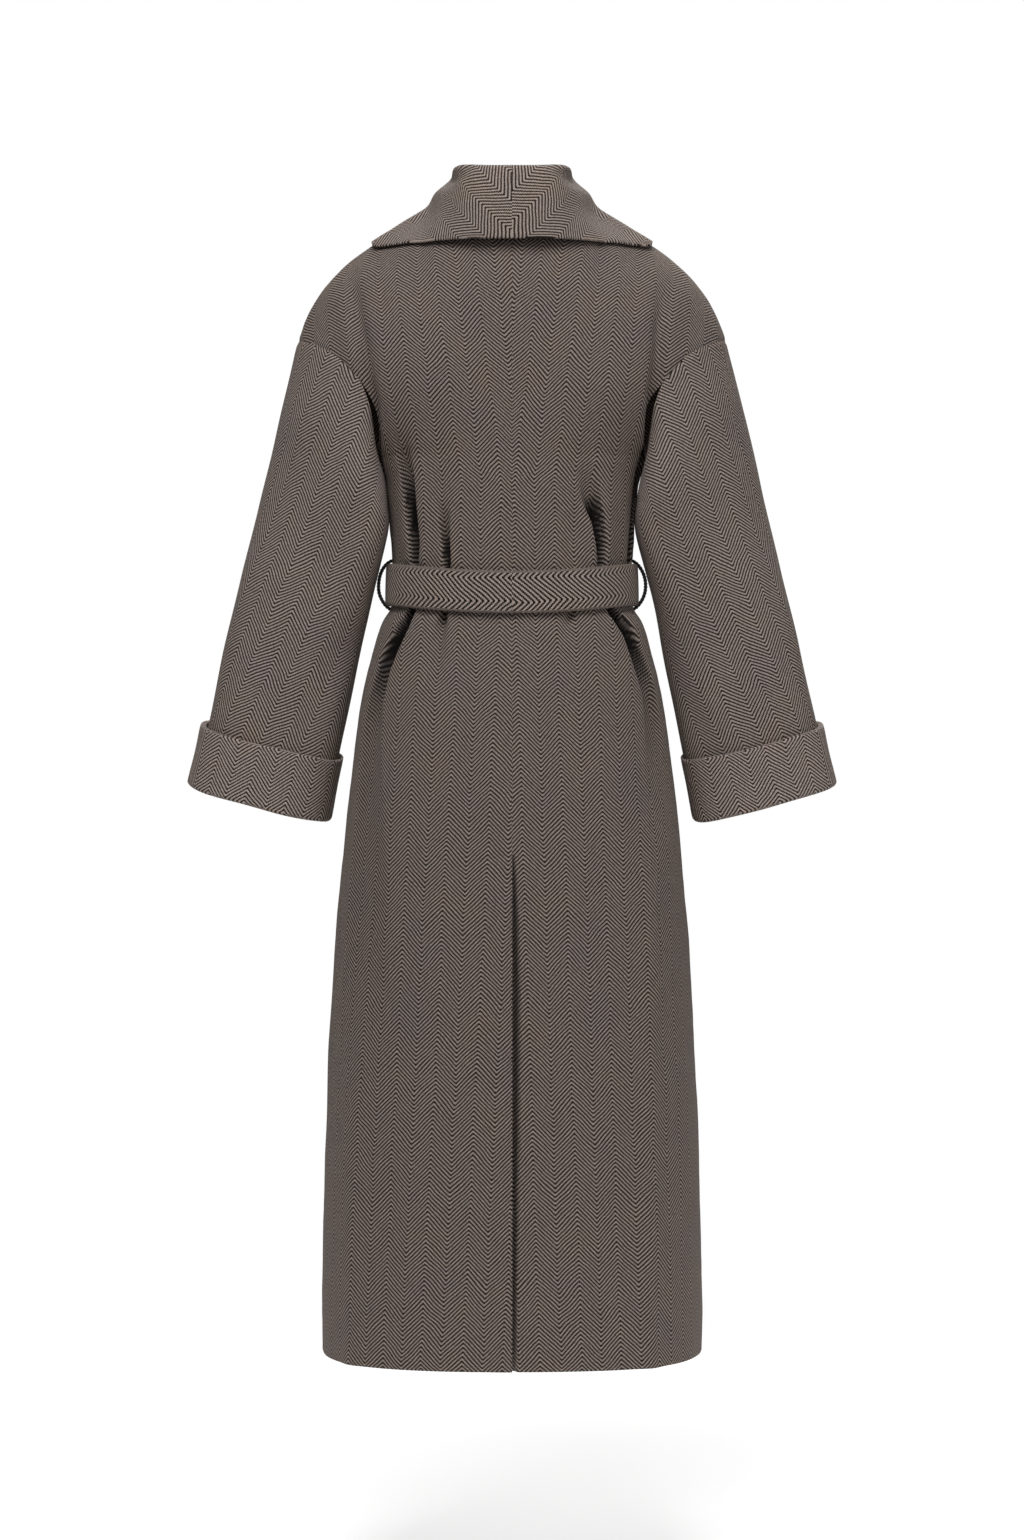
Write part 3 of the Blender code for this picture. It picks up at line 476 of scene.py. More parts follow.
# Camera, floor and light
SCALE = 0.001076
IMAGE_HEIGHT = 1540
CAMERA_DISTANCE = 4.0
CAMERA_Z = -0.597
FLOOR_Z = -1.46
FLOOR_RADIUS = 1.5
FLOOR_POINTS = 96
FLOOR_LOOK = {
    "Base Color": (0.96, 0.96, 0.96, 1.0),
    "Roughness": 0.9,
    "Emission Color": (1.0, 1.0, 1.0, 1.0),
    "Emission Strength": 0.30,
}
WORLD_LIGHT = 0.19
LIGHT_AIM = (0.0, 0.0, -0.6)
Light = namedtuple("Light", "name place size power")
LIGHTS = (
    Light("key", (0.3, 1.8, 1.7), 1.7, 60.0),
    Light("fill", (-2.2, 2.4, 0.2), 2.0, 16.0),
    Light("front", (-0.3, -1.8, 1.7), 1.7, 60.0),
)

# Fields for the cut of a cloth piece: flat width, length and area, how it is held and what holds it
Cut = namedtuple("Cut", "width length area held holders")


def spline(values, at):
    """Smooth curve through evenly spaced values, read at one place."""
    values = np.asarray(values, float)
    at = min(max(at, 0.0), len(values) - 1.0)
    first = min(int(at), len(values) - 2)
    t = at - first
    slope = np.gradient(values, axis=0)
    start, end = values[first], values[first + 1]
    rise = (3 * t * t - 2 * t**3) * (end - start)
    lean = (t - 2 * t * t + t**3) * slope[first] + (t**3 - t * t) * slope[first + 1]
    return start + rise + lean


def table_at(table, at):
    """A row of a table of numbers, smoothly between its rows."""
    return type(table[0])(*spline([tuple(row) for row in table], at))


def column_at(table, column, at):
    """A column of a table, straight between its rows, read by the first column."""
    return np.interp(at, [row[0] for row in table], [getattr(row, column) for row in table])


def bezier(corners, t):
    """Points of a cubic curve at the given shares of its run."""
    a, b, c, d = np.asarray(corners, float)
    t = np.asarray(t, float)[:, None]
    return a * (1 - t) ** 3 + 3 * b * t * (1 - t) ** 2 + 3 * c * t * t * (1 - t) + d * t**3


def ease(share):
    """Smooth step from 0 to 1."""
    share = np.clip(share, 0.0, 1.0)
    return share * share * (3 - 2 * share)


def running(steps, axis=0):
    """Running total of steps along an axis, from 0."""
    shape = list(steps.shape)
    shape[axis] = 1
    return np.concatenate([np.zeros(shape), np.cumsum(steps, axis=axis)], axis=axis)


def lengths(points, axis=0):
    """Distance run at each point of a polyline, or along the rows or columns of a grid."""
    return running(np.linalg.norm(np.diff(points, axis=axis), axis=-1), axis)


def points_at(row, places):
    """Points of a polyline at some distances along it."""
    run = lengths(row)
    return np.stack([np.interp(places, run, row[:, k]) for k in range(3)], axis=1)


def bell(distance, width):
    """A soft bump, 1 in its middle."""
    return np.exp(-((distance / width) ** 2))


def unit(vectors):
    """Vectors at length one."""
    return vectors / np.maximum(np.linalg.norm(vectors, axis=-1, keepdims=True), 1e-12)


def spread(count):
    """Shares from 0 to 1 that crowd towards both ends."""
    t = np.linspace(0, 1, count + 1)
    return t - CROWD * np.sin(2 * np.pi * t) / (2 * np.pi)


def sleeve_ring(at, degrees):
    """Points round the left sleeve; 0 degrees is the outer side and 90 the back."""
    row = table_at(SLEEVE, at)
    outer = np.array([row.outer_x, row.middle - row.set_back, row.outer_z])
    inner = np.array([row.inner_x, row.middle + row.set_back, row.inner_z])
    across = outer - inner
    angle = np.radians(np.asarray(degrees, float))[:, None]
    pitch = np.radians(row.pitch)
    back = row.depth * np.array([0.0, np.cos(pitch), -np.sin(pitch)])
    inward = unit(np.array([-across[2], 0.0, across[0]]))
    square = 2 + SLEEVE_SQUARE * ease(at / SLEEVE_SQUARED)
    reach = (np.abs(np.cos(angle)) ** square + np.abs(np.sin(angle)) ** square) ** (-1 / square)
    ring = (outer + inner) / 2 + reach * (across / 2 * np.cos(angle) + back * np.sin(angle))
    bow = row.bow * np.where(np.sin(angle) < 0, FRONT_BOW, 1.0)
    return ring + inward * bow * np.abs(np.sin(angle)) ** BOW_POWER


def base_row(face, level, shares):
    """A panel's row from its centre to its outer edge, before the shoulder shapes it."""
    sign = 1.0 if face == "back" else -1.0
    centre_rows = [(row.z_back, row.back, row.z_front, row.front) for row in YOKE + TRUNK[1:]]
    z_back, back, z_front, front = spline(centre_rows, level)
    height, depth = (z_back, back) if face == "back" else (z_front, front)
    centre = np.array([0.0, sign * depth, height])
    if level <= UNDERARM_LEVEL:
        yoke = table_at(YOKE, level)
        end = sleeve_ring(0, [sign * yoke.angle])[0]
        turn = unit(np.array([yoke.out, -sign * yoke.forward, -yoke.down]))
        square = ROW_SQUARE
    else:
        trunk = table_at(TRUNK, level - UNDERARM_LEVEL)
        end = np.array([trunk.half_width, 0.0, trunk.z_side])
        turn = np.array([0.0, -sign, 0.0])
        square = trunk.square
    lead = np.array([square * end[0], 0.0, 0.0])
    return bezier((centre, centre + lead, end - square * depth * turn, end), shares)


def top_edge(face):
    """The neck edge and shoulder seam of a panel, and the share of their length at each point."""
    steps = np.linspace(0, 1, DENSE + 1)
    points = np.vstack([bezier(NECK[face], steps), bezier(SHOULDER, steps)[1:]])
    run = lengths(points)
    return points, run / run[-1]


TOP = {face: top_edge(face) for face in NECK}
NECK_SHARE = {face: TOP[face][1][DENSE] for face in NECK}


def half_row(face, level):
    """Close-set points of a panel's row on the left, from the centre to the outer edge."""
    top, shares = TOP[face]
    row = base_row(face, level, shares)
    fade = max(0.0, 1 - level / TOP_FADE) ** TOP_POWER
    return row + fade * (top - base_row(face, 0, shares))


def lap_lift(shares, z, levels):
    """How far the right front stands out over the left one."""
    lift = column_at(LAP, "lift", z)
    outer, inner = LAP_SHARES
    return lift * ease((outer - shares) / (outer - inner)) * ease((levels - LAP_START) / LAP_RUN)


def vent_step(name, run, z, levels):
    """The left panel stands out along the vent and the right one rolls under it."""
    below = ease((levels - VENT_LEVEL) / VENT_OPENS)
    if name == "back_left":
        return VENT_LIFT * below * ease(1 - run / VENT_EASE)
    roll = np.where(run > 0, np.exp(-((run / column_at(VENT, "roll", z)) ** VENT_POWER)), 1.0)
    return -column_at(VENT, "sink", z) * roll * (levels >= VENT_LEVEL)


def trough(crease, a, b):
    """How far a crease pushes the cloth in, its sides standing up beside it, and how much shade is painted
    into it.
    """
    nearest = np.full(a.shape, np.inf)
    depth, width = np.zeros_like(a), np.ones_like(a)
    line = np.array(crease.line) * MILLIMETRE
    for start, end in zip(line[:-1], line[1:]):
        da, db = end[:2] - start[:2]
        t = np.clip(((a - start[0]) * da + (b - start[1]) * db) / (da * da + db * db), 0, 1)
        distance = np.hypot(a - start[0] - t * da, b - start[1] - t * db)
        closer = distance < nearest
        nearest = np.where(closer, distance, nearest)
        depth = np.where(closer, start[2] + t * (end[2] - start[2]), depth)
        width = np.where(closer, start[3] + t * (end[3] - start[3]), width)
    place = nearest / width
    bank = crease.rise * MILLIMETRE * depth / line[:, 2].max() if crease.rise else 0.0
    inside = np.exp(-(place**crease.steep))
    # Painted shade: the inside of a steep, deep crease is painted dark
    dark = ease(inside / PAINTED_SHADE_EDGE) * ease(depth / PAINTED_SHADE_DEPTH) * (crease.steep >= PAINTED_SHADE_STEEP)
    return depth * inside - bank * bell(place - BANK_PLACE, BANK_WIDTH), dark


def crease_field(name, a, b):
    """How far the creases of a piece push its cloth out, mostly inward, and how much shade is painted into
    them.
    """
    push, shade = np.zeros_like(a), np.zeros_like(a)
    for crease in CREASES[name]:
        inward, dark = trough(crease, a, b)
        push -= inward
        shade = np.maximum(shade, dark)
    return push, shade


def unevenness(points, kind, side):
    """Slight hand-made unevenness of a surface."""
    wave = WAVES[kind]
    flat = points.reshape(-1, 3) * wave.scale + getattr(wave, side)
    values = [noise.noise(Vector(point)) for point in flat]
    return wave.size * np.array(values).reshape(points.shape[:-1])


def grid_normals(grid, outward_from):
    """Normals of a grid of points, facing away from a line of middles."""
    normals = unit(np.cross(np.gradient(grid, axis=1), np.gradient(grid, axis=0)))
    side = np.sum(normals * (grid - outward_from), axis=-1)
    return normals * np.sign(np.sum(side))


def ring_normals(grid, middles):
    """Normals of a grid whose rows close to rings."""
    wrapped = np.concatenate([grid[:, -1:], grid, grid[:, :1]], axis=1)
    return grid_normals(wrapped, middles)[:, 1:-1]


def carry(vectors, normals):
    """Directions carried over to a place with other normals."""
    return unit(vectors - normals * np.sum(vectors * normals, axis=-1, keepdims=True))


def lay_weave(grid, normals, fall, start, hang, first, closed=False):
    """Flat coordinates of the cloth, across and down, carried along its rows from one column.

    hang says by row how far the woven columns fall straight instead of turning with the cloth. Rows above
    the first one take theirs from the row below.
    """
    if closed:
        grid, normals = [np.concatenate([part, part[:, :1]], axis=1) for part in (grid, normals)]
    straight = carry(np.asarray(fall) + np.zeros_like(normals), normals)
    carried = straight.copy()
    for row in range(np.argmax(hang.ravel() >= 1.0))[::-1]:
        carried[row, start] = carry(carried[row + 1, start], normals[row, start])
    for here in range(start + 1, grid.shape[1]):
        carried[:, here] = carry(carried[:, here - 1], normals[:, here])
    for here in range(start)[::-1]:
        carried[:, here] = carry(carried[:, here + 1], normals[:, here])
    down = unit(carried + (straight - carried) * hang)
    flat = []
    for way in (np.cross(down, normals), down):
        along = np.sum(np.diff(grid, axis=1) * (way[:, 1:] + way[:, :-1]) / 2, axis=-1)
        along = running(along, 1)
        middle_way = (way[1:, start] + way[:-1, start]) / 2
        spine = running(np.sum(np.diff(grid[:, start], axis=0) * middle_way, axis=-1))
        flat.append(along - along[:, start : start + 1] + spine[:, None])
    for row in range(first)[::-1]:
        down[row] = carry(down[row + 1], normals[row])
        step = grid[row] - grid[row + 1]
        ways = np.cross(down[row : row + 2], normals[row : row + 2]), down[row : row + 2]
        for values, way in zip(flat, ways):
            values[row] = values[row + 1] + np.sum(step * way.mean(axis=0), axis=-1)
    return flat


def make_mesh(name, points, quads, weave, bake, painted_crease_shade):
    """A smooth mesh of quads with weave and bake coordinates at its corners and the shade painted into its
    folds.
    """
    mesh = bpy.data.meshes.new(name)
    mesh.vertices.add(len(points))
    mesh.vertices.foreach_set("co", points.astype(np.float32).ravel())
    mesh.loops.add(quads.size)
    mesh.loops.foreach_set("vertex_index", quads.astype(np.int32).ravel())
    mesh.polygons.add(len(quads))
    mesh.polygons.foreach_set("loop_start", np.arange(0, quads.size, 4, dtype=np.int32))
    mesh.update(calc_edges=True)
    for layer, corners in (("OFBake", bake), ("weave", weave)):
        mesh.uv_layers.new(name=layer).data.foreach_set("uv", corners.astype(np.float32).ravel())
    # The shade painted into the creases, by point
    mesh.attributes.new("painted_crease_shade", "FLOAT", "POINT").data.foreach_set("value", painted_crease_shade.astype(np.float32))
    mesh.validate()
    mesh.shade_smooth()
    return mesh


def grid_quads(i, j, rows, columns):
    """Point numbers at the corners of the cells (i, j) of a grid that may close on itself."""
    after, right = (i + 1) % rows * columns, (j + 1) % columns
    return np.stack([i * columns + j, i * columns + right, after + right, after + j], axis=1)


def corner_values(values, i, j):
    """A grid's values at the four corners of the cells (i, j)."""
    return np.stack([values[i, j], values[i, j + 1], values[i + 1, j + 1], values[i + 1, j]], axis=1)


def bake_square(rows, spans):
    """Even coordinates from 0 to 1 over a grid."""
    y, x = np.meshgrid(np.linspace(0, 1, rows), np.linspace(0, 1, spans + 1), indexing="ij")
    return np.stack([x, y], axis=-1)


def shell(name, near, normals, thick, weave, sewn, painted_crease_shade, keep=None, closed=False, finish="wool"):
    """Cloth of one thickness under a grid of outer points, with round free edges and close sewn ones."""
    rows, columns = near.shape[:2]
    spans = columns if closed else columns - 1
    keep = np.ones((rows - 1, spans), bool) if keep is None else keep
    i, j = np.nonzero(keep)
    quads = grid_quads(i, j, rows, columns)
    points = near.reshape(-1, 3).copy()
    facing = normals.reshape(-1, 3)
    starts = quads.ravel()
    ends = np.roll(quads, -1, axis=1).ravel()
    total = rows * columns
    rim = ~np.isin(starts * total + ends, ends * total + starts)
    edge = np.unique(starts[rim])
    middles, counts = np.zeros((total, 3)), np.zeros(total)
    np.add.at(middles, starts, np.repeat(points[quads].mean(axis=1), 4, axis=0))
    np.add.at(counts, starts, 1)
    out = carry(points[edge] - middles[edge] / counts[edge][:, None], facing[edge])
    nose = np.where(sewn.ravel()[edge], SEWN_RIM, thick / 2)[:, None]
    points[edge] -= out * (nose - SEAM_MEET)
    layers = [points]
    for turn in ROUND:
        inner = thick / 2 - (thick / 2 - nose) * np.cos(turn) / np.cos(ROUND[0])
        ahead = nose * (np.cos(turn) * facing[edge] + np.sin(turn) * out)
        layers.append(points[edge] - facing[edge] * inner + ahead)
    layers.append(points - thick * facing)
    place = np.zeros(total, int)
    place[edge] = np.arange(len(edge))
    firsts = np.cumsum([0] + [len(layer) for layer in layers])
    everyone = np.arange(total)
    numbers = [everyone] + [first + place for first in firsts[1:-2]] + [firsts[-2] + everyone]
    first, last = starts[rim], ends[rim]
    faces = [quads, quads[:, ::-1] + firsts[-2]]
    for up, down in zip(numbers, numbers[1:]):
        faces.append(np.stack([up[last], up[first], down[first], down[last]], axis=1))
    wove = corner_values(weave, i, j)
    flat = corner_values(bake_square(rows, spans), i, j)
    outer_flat, inner_flat = [flat * np.array(size) + np.array(corner) for size, corner in BAKE_SIDES]
    woven, baked = [wove, wove[:, ::-1]], [outer_flat, inner_flat[:, ::-1]]
    for parts, corners in ((woven, wove), (baked, outer_flat)):
        here, after = [part.reshape(-1, 2)[rim] for part in (corners, np.roll(corners, -1, axis=1))]
        parts += [np.stack([after, here, here, after], axis=1)] * (len(numbers) - 1)
    used, corners = np.unique(np.vstack(faces), return_inverse=True)
    corners, woven, baked = corners.reshape(-1, 4), np.vstack(woven), np.vstack(baked)
    a, b, d = near.reshape(-1, 3)[quads[0][[0, 1, 3]]]
    if np.cross(b - a, d - a) @ facing[quads[0][0]] < 0:
        corners, woven, baked = corners[:, ::-1], woven[:, ::-1], baked[:, ::-1]
    # Shade painted into the creases, the same on every layer and turn of the edge
    painted_crease_shade = painted_crease_shade.ravel()
    shade = np.concatenate([painted_crease_shade] + [painted_crease_shade[edge]] * len(ROUND) + [painted_crease_shade])
    add_piece(name, make_mesh(name, np.vstack(layers)[used], corners, woven, baked, shade[used]), finish)


def skin(name, grid, weave, finish, closed_rows=True):
    """A closed tube of cloth: rows run along it, columns round its section."""
    rows, columns = grid.shape[:2]
    bands = rows if closed_rows else rows - 1
    i, j = [index.ravel() for index in np.indices((bands, columns))]
    quads = grid_quads(i, j, rows, columns)
    bake = bake_square(bands + 1, columns) * BAKE_SIZE + BAKE_START
    points = grid.reshape(-1, 3)
    woven, baked = corner_values(weave, i, j), corner_values(bake, i, j)
    a, b, _, d = points[quads.T]
    outward = np.sum(np.cross(b - a, d - a) * (points[quads].mean(axis=1) - grid.mean(axis=1)[i]))
    if not closed_rows:
        k = np.arange(columns // 2 - 1)
        cap = np.stack([k, k + 1, columns - 2 - k, columns - 1 - k], axis=1)
        for row, corners in ((0, cap[:, [1, 0, 3, 2]]), (rows - 1, cap)):
            quads = np.vstack([quads, row * columns + corners])
            woven = np.vstack([woven, weave[row][corners]])
            baked = np.vstack([baked, bake[row][corners]])
    if outward < 0:
        quads, woven, baked = quads[:, ::-1], woven[:, ::-1], baked[:, ::-1]
    add_piece(name, make_mesh(name, points, quads, woven, baked, np.zeros(len(points))), finish)


def add_piece(name, data, finish):
    """A piece of the coat that stands for the solid of its name."""
    item = bpy.data.objects.new(name + "_look", data)
    data.materials.append(FINISHES[finish])
    bpy.context.scene.collection.objects.link(item)
    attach(item, "root")
    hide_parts(name)


def panel_shares(face, side, level, row):
    """Where the mesh columns of a panel lie on a row."""
    if face == "front":
        run = lengths(row)
        edge = spline([line.edge for line in YOKE + TRUNK[1:]], level)
        share = np.interp(abs(edge), row[:, 0], run / run[-1])
        edge_share = NECK_SHARE["front"] if level == 0 else np.copysign(share, edge)
        return 1 + spread(COLUMNS[face]) * (edge_share - 1)
    shares = spread(COLUMNS[face])
    if side == "right":
        lap = VENT_LAP / lengths(row)[-1]
        shares = np.concatenate([np.linspace(-lap, 0, LAP_COLUMNS + 1)[:-1], shares])
    return shares


def panel_weave(name, grid, normals):
    """Weave coordinates of a panel, laid from its centre line before the creases shape it."""
    first = {"back_left": 0, "back_right": LAP_COLUMNS}.get(name, grid.shape[1] - 1)
    outer = 0 if name.startswith("front") else -1
    hang = ease((LEVELS - HANG_START) / HANG_EASE)[:, None, None]
    across, down = lay_weave(grid, normals, (0.0, 0.0, -1.0), first, hang, PANEL_TOP_ROWS)
    waist = np.argmin(np.abs(LEVELS - WAIST_LEVEL))
    across = across * np.sign(across[waist, outer])
    down = down - down[waist, first]
    return np.stack([across + column_at(GRAIN[name], "shift", down), down], axis=-1)


def make_panel(face, side):
    """One body panel; gives back its outer points and normals for what lies on it."""
    name = f"{face}_{side}"
    points, runs, shares = [], [], []
    for level in LEVELS:
        row = half_row(face, level)
        share = panel_shares(face, side, level, row)
        place = np.abs(share) * lengths(row)[-1]
        line = points_at(row, place)
        line[:, 0] *= np.where(share < 0, -1.0, 1.0) * SIDES[side]
        points.append(line)
        runs.append(np.copysign(place, share))
        shares.append(share)
    grid, run, share = np.array(points), np.array(runs), np.array(shares)
    levels = LEVELS[:, None] + np.zeros_like(run)
    middles = grid * np.array([0.0, 0.0, 1.0])
    normals = grid_normals(grid, middles)
    weave = panel_weave(name, grid, normals)
    height = grid[..., 2] - (BELT_Z - BELT_FALL * grid[..., 1])
    # The creases, and the shade painted into them
    push, painted_crease_shade = crease_field(name, run, height)
    free = ease((np.abs(height) - BELT_HEIGHT / 2) / BELT_PRESS)
    push = np.minimum(push, 0) + np.maximum(push, 0) * free
    outer = (1 - share) * np.abs(run[:, -1:] if face == "back" else run[:, :1])
    top = lengths(grid, 0)
    seams = bell(outer, SEAM_WIDTH) + bell(top, SEAM_WIDTH)
    near_seam = bell(outer, PUCKER_REACH) + bell(top, PUCKER_REACH)
    calm = ease(np.minimum(outer, top) / SEAM_CALM)
    sewn = np.zeros(run.shape, bool)
    sewn[0] = True
    keep, middle = None, 0
    if face == "back":
        closed = levels < VENT_LEVEL
        seams = seams + CENTRE_DIP * bell(run, SEAM_WIDTH) * closed
        near_seam = near_seam + bell(run, CENTRE_REACH) * closed
        calm = calm * ease(np.abs(run) / SEAM_CALM)
        push = push + vent_step(name, run, grid[..., 2], levels)
        if side == "right":
            keep = np.ones((len(LEVELS) - 1, grid.shape[1] - 1), bool)
            keep[LEVELS[:-1] < VENT_LEVEL, :LAP_COLUMNS] = False
            middle = LAP_COLUMNS
        sewn[:, middle] = LEVELS < VENT_LEVEL
        sewn[:, -1] = True
    else:
        sewn[:, 0] = True
        sewn[:, -1] = LEVELS < BREAK_LEVEL
    if name == "front_right":
        push = push + lap_lift(share, grid[..., 2], levels)
    push = push - SEAM_DIP * seams + near_seam * unevenness(grid, "pucker", side)
    push = push + calm * unevenness(grid, "panel", side)
    grid = grid + normals * push[..., None]
    normals = grid_normals(grid, middles)
    shell(name, grid, normals, WALL, weave, sewn, painted_crease_shade, keep)
    return grid, normals


def make_sleeve(side):
    """One sleeve from the armhole to inside its cuff."""
    degrees = 180.0 + np.arange(SLEEVE_COLUMNS) * 360.0 / SLEEVE_COLUMNS
    places = np.linspace(0, 1, SLEEVE_ROWS + 1) ** SLEEVE_CROWD * SLEEVE_END
    grid = np.array([sleeve_ring(at, degrees) for at in places])
    middles = grid.mean(axis=1, keepdims=True)
    normals = ring_normals(grid, middles)
    down, across = lengths(grid, 0), lengths(grid, 1)
    back_line = SLEEVE_COLUMNS * 3 // 4
    hang = np.zeros((len(grid), 1, 1))
    weave = lay_weave(grid, normals, SLEEVE_FALL, back_line, hang, SLEEVE_TOP_ROWS, closed=True)
    push, painted_crease_shade = crease_field(f"sleeve_{side}", across - across[:, back_line : back_line + 1], -down)
    push = push - SEAM_DIP * bell(down, SEAM_WIDTH)
    push = push + ease(down / SEAM_CALM) * unevenness(grid, "sleeve", side)
    grid = grid + normals * push[..., None]
    parts = grid * FLIP[side], ring_normals(grid, middles) * FLIP[side], WALL, np.stack(weave, axis=-1)
    sewn = np.zeros(grid.shape[:2], bool)
    sewn[0] = True
    # The sleeve's wool is painted lighter than the body's.
    shell(f"sleeve_{side}", *parts, sewn, painted_crease_shade, closed=True, finish="wool_painted_lighter")


def make_cuff(side):
    """A turn-up cuff round the end of the sleeve, in wool painted lighter than the body's."""
    degrees = np.arange(SLEEVE_COLUMNS) * 360.0 / SLEEVE_COLUMNS
    section = np.array([tuple(point) for point in CUFF + CUFF[:1]])
    steps = np.arange(len(CUFF) * CUFF_STEPS) / CUFF_STEPS
    section = np.array([spline(section, step) for step in steps])
    bias = 1 + CUFF_BIAS * np.cos(np.radians(degrees))
    loops = []
    for along, out in section:
        ring = sleeve_ring(along, degrees)
        ahead = sleeve_ring(along - CUFF_LOOK, degrees)
        around = np.roll(ring, -1, axis=0) - np.roll(ring, 1, axis=0)
        normal = unit(np.cross(around, ahead - ring))
        normal *= np.sign(np.sum(normal * (ring - ring.mean(axis=0))))
        reach = out * np.where(out > CUFF_BIASED, bias, 1.0)
        loops.append(ring + normal * reach[:, None])
    grid = np.array(loops)
    grid[..., 2] += unevenness(grid, "cuff", side)
    grid = np.swapaxes(grid, 0, 1) * FLIP[side]
    closed = np.concatenate([grid, grid[:1]], axis=0)
    closed = np.concatenate([closed, closed[:, :1]], axis=1)
    weave = np.stack([lengths(closed, 0), lengths(closed, 1)], axis=-1)
    # The cuff's wool is painted lighter than the body's.
    skin(f"cuff_{side}", grid, weave, "cuff")


def surface_tree(grids):
    """A search tree over the outer surfaces of some panels."""
    points, faces = [], []
    for grid in grids:
        first = len(points)
        rows, columns = grid.shape[:2]
        points.extend(Vector(point) for point in grid.reshape(-1, 3))
        corners = (first + np.arange(rows - 1)[:, None] * columns + np.arange(columns - 1)).ravel()
        faces.extend((c, c + 1, c + columns + 1, c + columns) for c in corners.tolist())
    return BVHTree.FromPolygons(points, faces)


def height_over(points, surface, facing):
    """Height of points over a surface and the way out of it, smoothed over its ridges."""
    heights, ways = [], []
    for row in points:
        apart = row[:, None] - surface
        away = np.sum(apart**2, axis=-1)
        weight = np.exp(-(away - away.min(axis=1, keepdims=True)) / (2 * SMOOTH_REACH**2))
        weight /= weight.sum(axis=1, keepdims=True)
        heights.append(np.sum(weight * np.sum(apart * facing, axis=-1), axis=1))
        ways.append(unit(weight @ facing))
    return np.array(heights), np.array(ways)


def soft_above(value, limit):
    """A value held above a limit, with a soft bend where it meets it."""
    return limit + SETTLE * np.logaddexp(0.0, (value - limit) / SETTLE)


def read_section(side, place):
    """Stand, outer edge and roll of the collar at one place."""
    places = [row.place for row in COLLAR]
    numbers = [(*(FLIP[side] * row.stand), *(FLIP[side] * row.edge), row.roll) for row in COLLAR]
    values = spline(numbers, float(np.interp(place, places, np.arange(len(places)))))
    return values[:3], values[3:6], values[6]


def bend(start, middle, end, t):
    """A point of the curve from start to end that is drawn towards the middle."""
    return (1 - t) ** 2 * start + 2 * t * (1 - t) * middle + t * t * end


def collar_line(side, start, place):
    """Under side of the collar at one place, from the neck seam over the roll to the outer edge."""
    stand, edge, roll = read_section(side, place)
    crest = start + stand
    rise = unit(stand)
    span = edge - start
    over = unit(span - (span @ rise) * rise)
    line = [bend(start, crest - roll * over, crest, t) for t in np.linspace(0, 1, STAND_SPANS + 1)[:-1]]
    return line + [bend(crest, crest + ROLL_LEAD * roll * over, edge, t) for t in FALL_SHARES]


def settle(fall, seam, places, surface, facing):
    """The collar's fall laid on the shoulders and fronts, and hanging free behind."""
    t, place = FALL_SHARES[None], places[:, None]
    for _ in range(2):
        height, way = height_over(fall, surface, facing)
        span = (fall[:, -1] - seam)[:, None]
        out = carry(span, way)
        reach = np.maximum(0.0, np.sum((fall - seam[:, None]) * out, axis=-1))
        shoulder = SHOULDER_SPRING * np.exp(-((reach / SHOULDER_REACH) ** SHOULDER_POWER))
        lapel = LAPEL_SPRING * (1 - t) * ease((LAPEL_FLAT - place) / LAPEL_EASE)
        most = COLLAR_GAP + LAPEL_PLAY + shoulder + (lapel - shoulder) * ease(place - LAPEL_START)
        lain = -soft_above(-height, -most)
        held = height + (lain - height) * ease((place + COLLAR_FREE) / COLLAR_EASE)
        held = soft_above(held, COLLAR_GAP)
        fall = fall + way * ((held - height) * ease(t / ROLL_SHARE))[..., None]
        fall[1:-1] = (fall[:-2] + 2 * fall[1:-1] + fall[2:]) / 4
    return fall


def make_collar(side, back, front):
    """One half of the shawl collar from the centre back to the break of the lapel."""
    neck = half_row("back", 0.0)
    shares = np.linspace(0, 1, NECK_SPANS + 1) ** NECK_CROWD
    seam = points_at(neck, shares * NECK_SHARE["back"] * lengths(neck)[-1])
    seam[:, 0] *= SIDES[side]
    rows = np.nonzero((LEVELS > 0) & (LEVELS <= BREAK_LEVEL))[0]
    seam = np.vstack([seam, front[0][rows, -1]])
    places = np.concatenate([shares - 1, LEVELS[rows]])
    upper, lapel = LEVELS <= UNDERARM_LEVEL, LEVELS <= BREAK_LEVEL + LAPEL_BEYOND
    surface, facing = [
        np.vstack([behind[upper, ::REST_STEP].reshape(-1, 3), ahead[lapel, ::REST_STEP].reshape(-1, 3)])
        for behind, ahead in zip(back, front)
    ]
    under = np.array([collar_line(side, start, place) for start, place in zip(seam, places)])
    under[:, STAND_SPANS:] = settle(under[:, STAND_SPANS:], seam, places, surface, facing)
    facing = unit(np.cross(np.gradient(under, axis=1), np.gradient(under, axis=0))) * -SIDES[side]
    facing[0] = unit(facing[0] * np.array([0.0, 1.0, 1.0]))
    over = under + COLLAR_WALL * facing
    pull, _ = trough(PULLS[side], np.abs(over[..., 0]), over[..., 2])
    over = over - facing * (pull * (over[..., 1] > PULL_BEHIND))[..., None]
    run = lengths(seam)
    turn = np.radians(COLLAR_TURN) * (1 - ease(run / COLLAR_TURNED))
    along = np.stack([np.sin(turn), np.cos(turn)], axis=1)
    across = np.stack([np.cos(turn), -np.sin(turn)], axis=1)
    path = running(np.diff(run)[:, None] * along[1:])
    weave = (path + COLLAR_SHIFT[side])[:, None] + lengths(under, 1)[..., None] * across[:, None]
    sewn = np.zeros(under.shape[:2], bool)
    sewn[0] = True
    sewn[:, 0] = True
    painted_crease_shade = np.zeros(under.shape[:2])
    # The collar's wool is painted lighter than the body's.
    shell(f"collar_{side}", over, facing, COLLAR_WALL, weave, sewn, painted_crease_shade, finish="wool_painted_lighter")


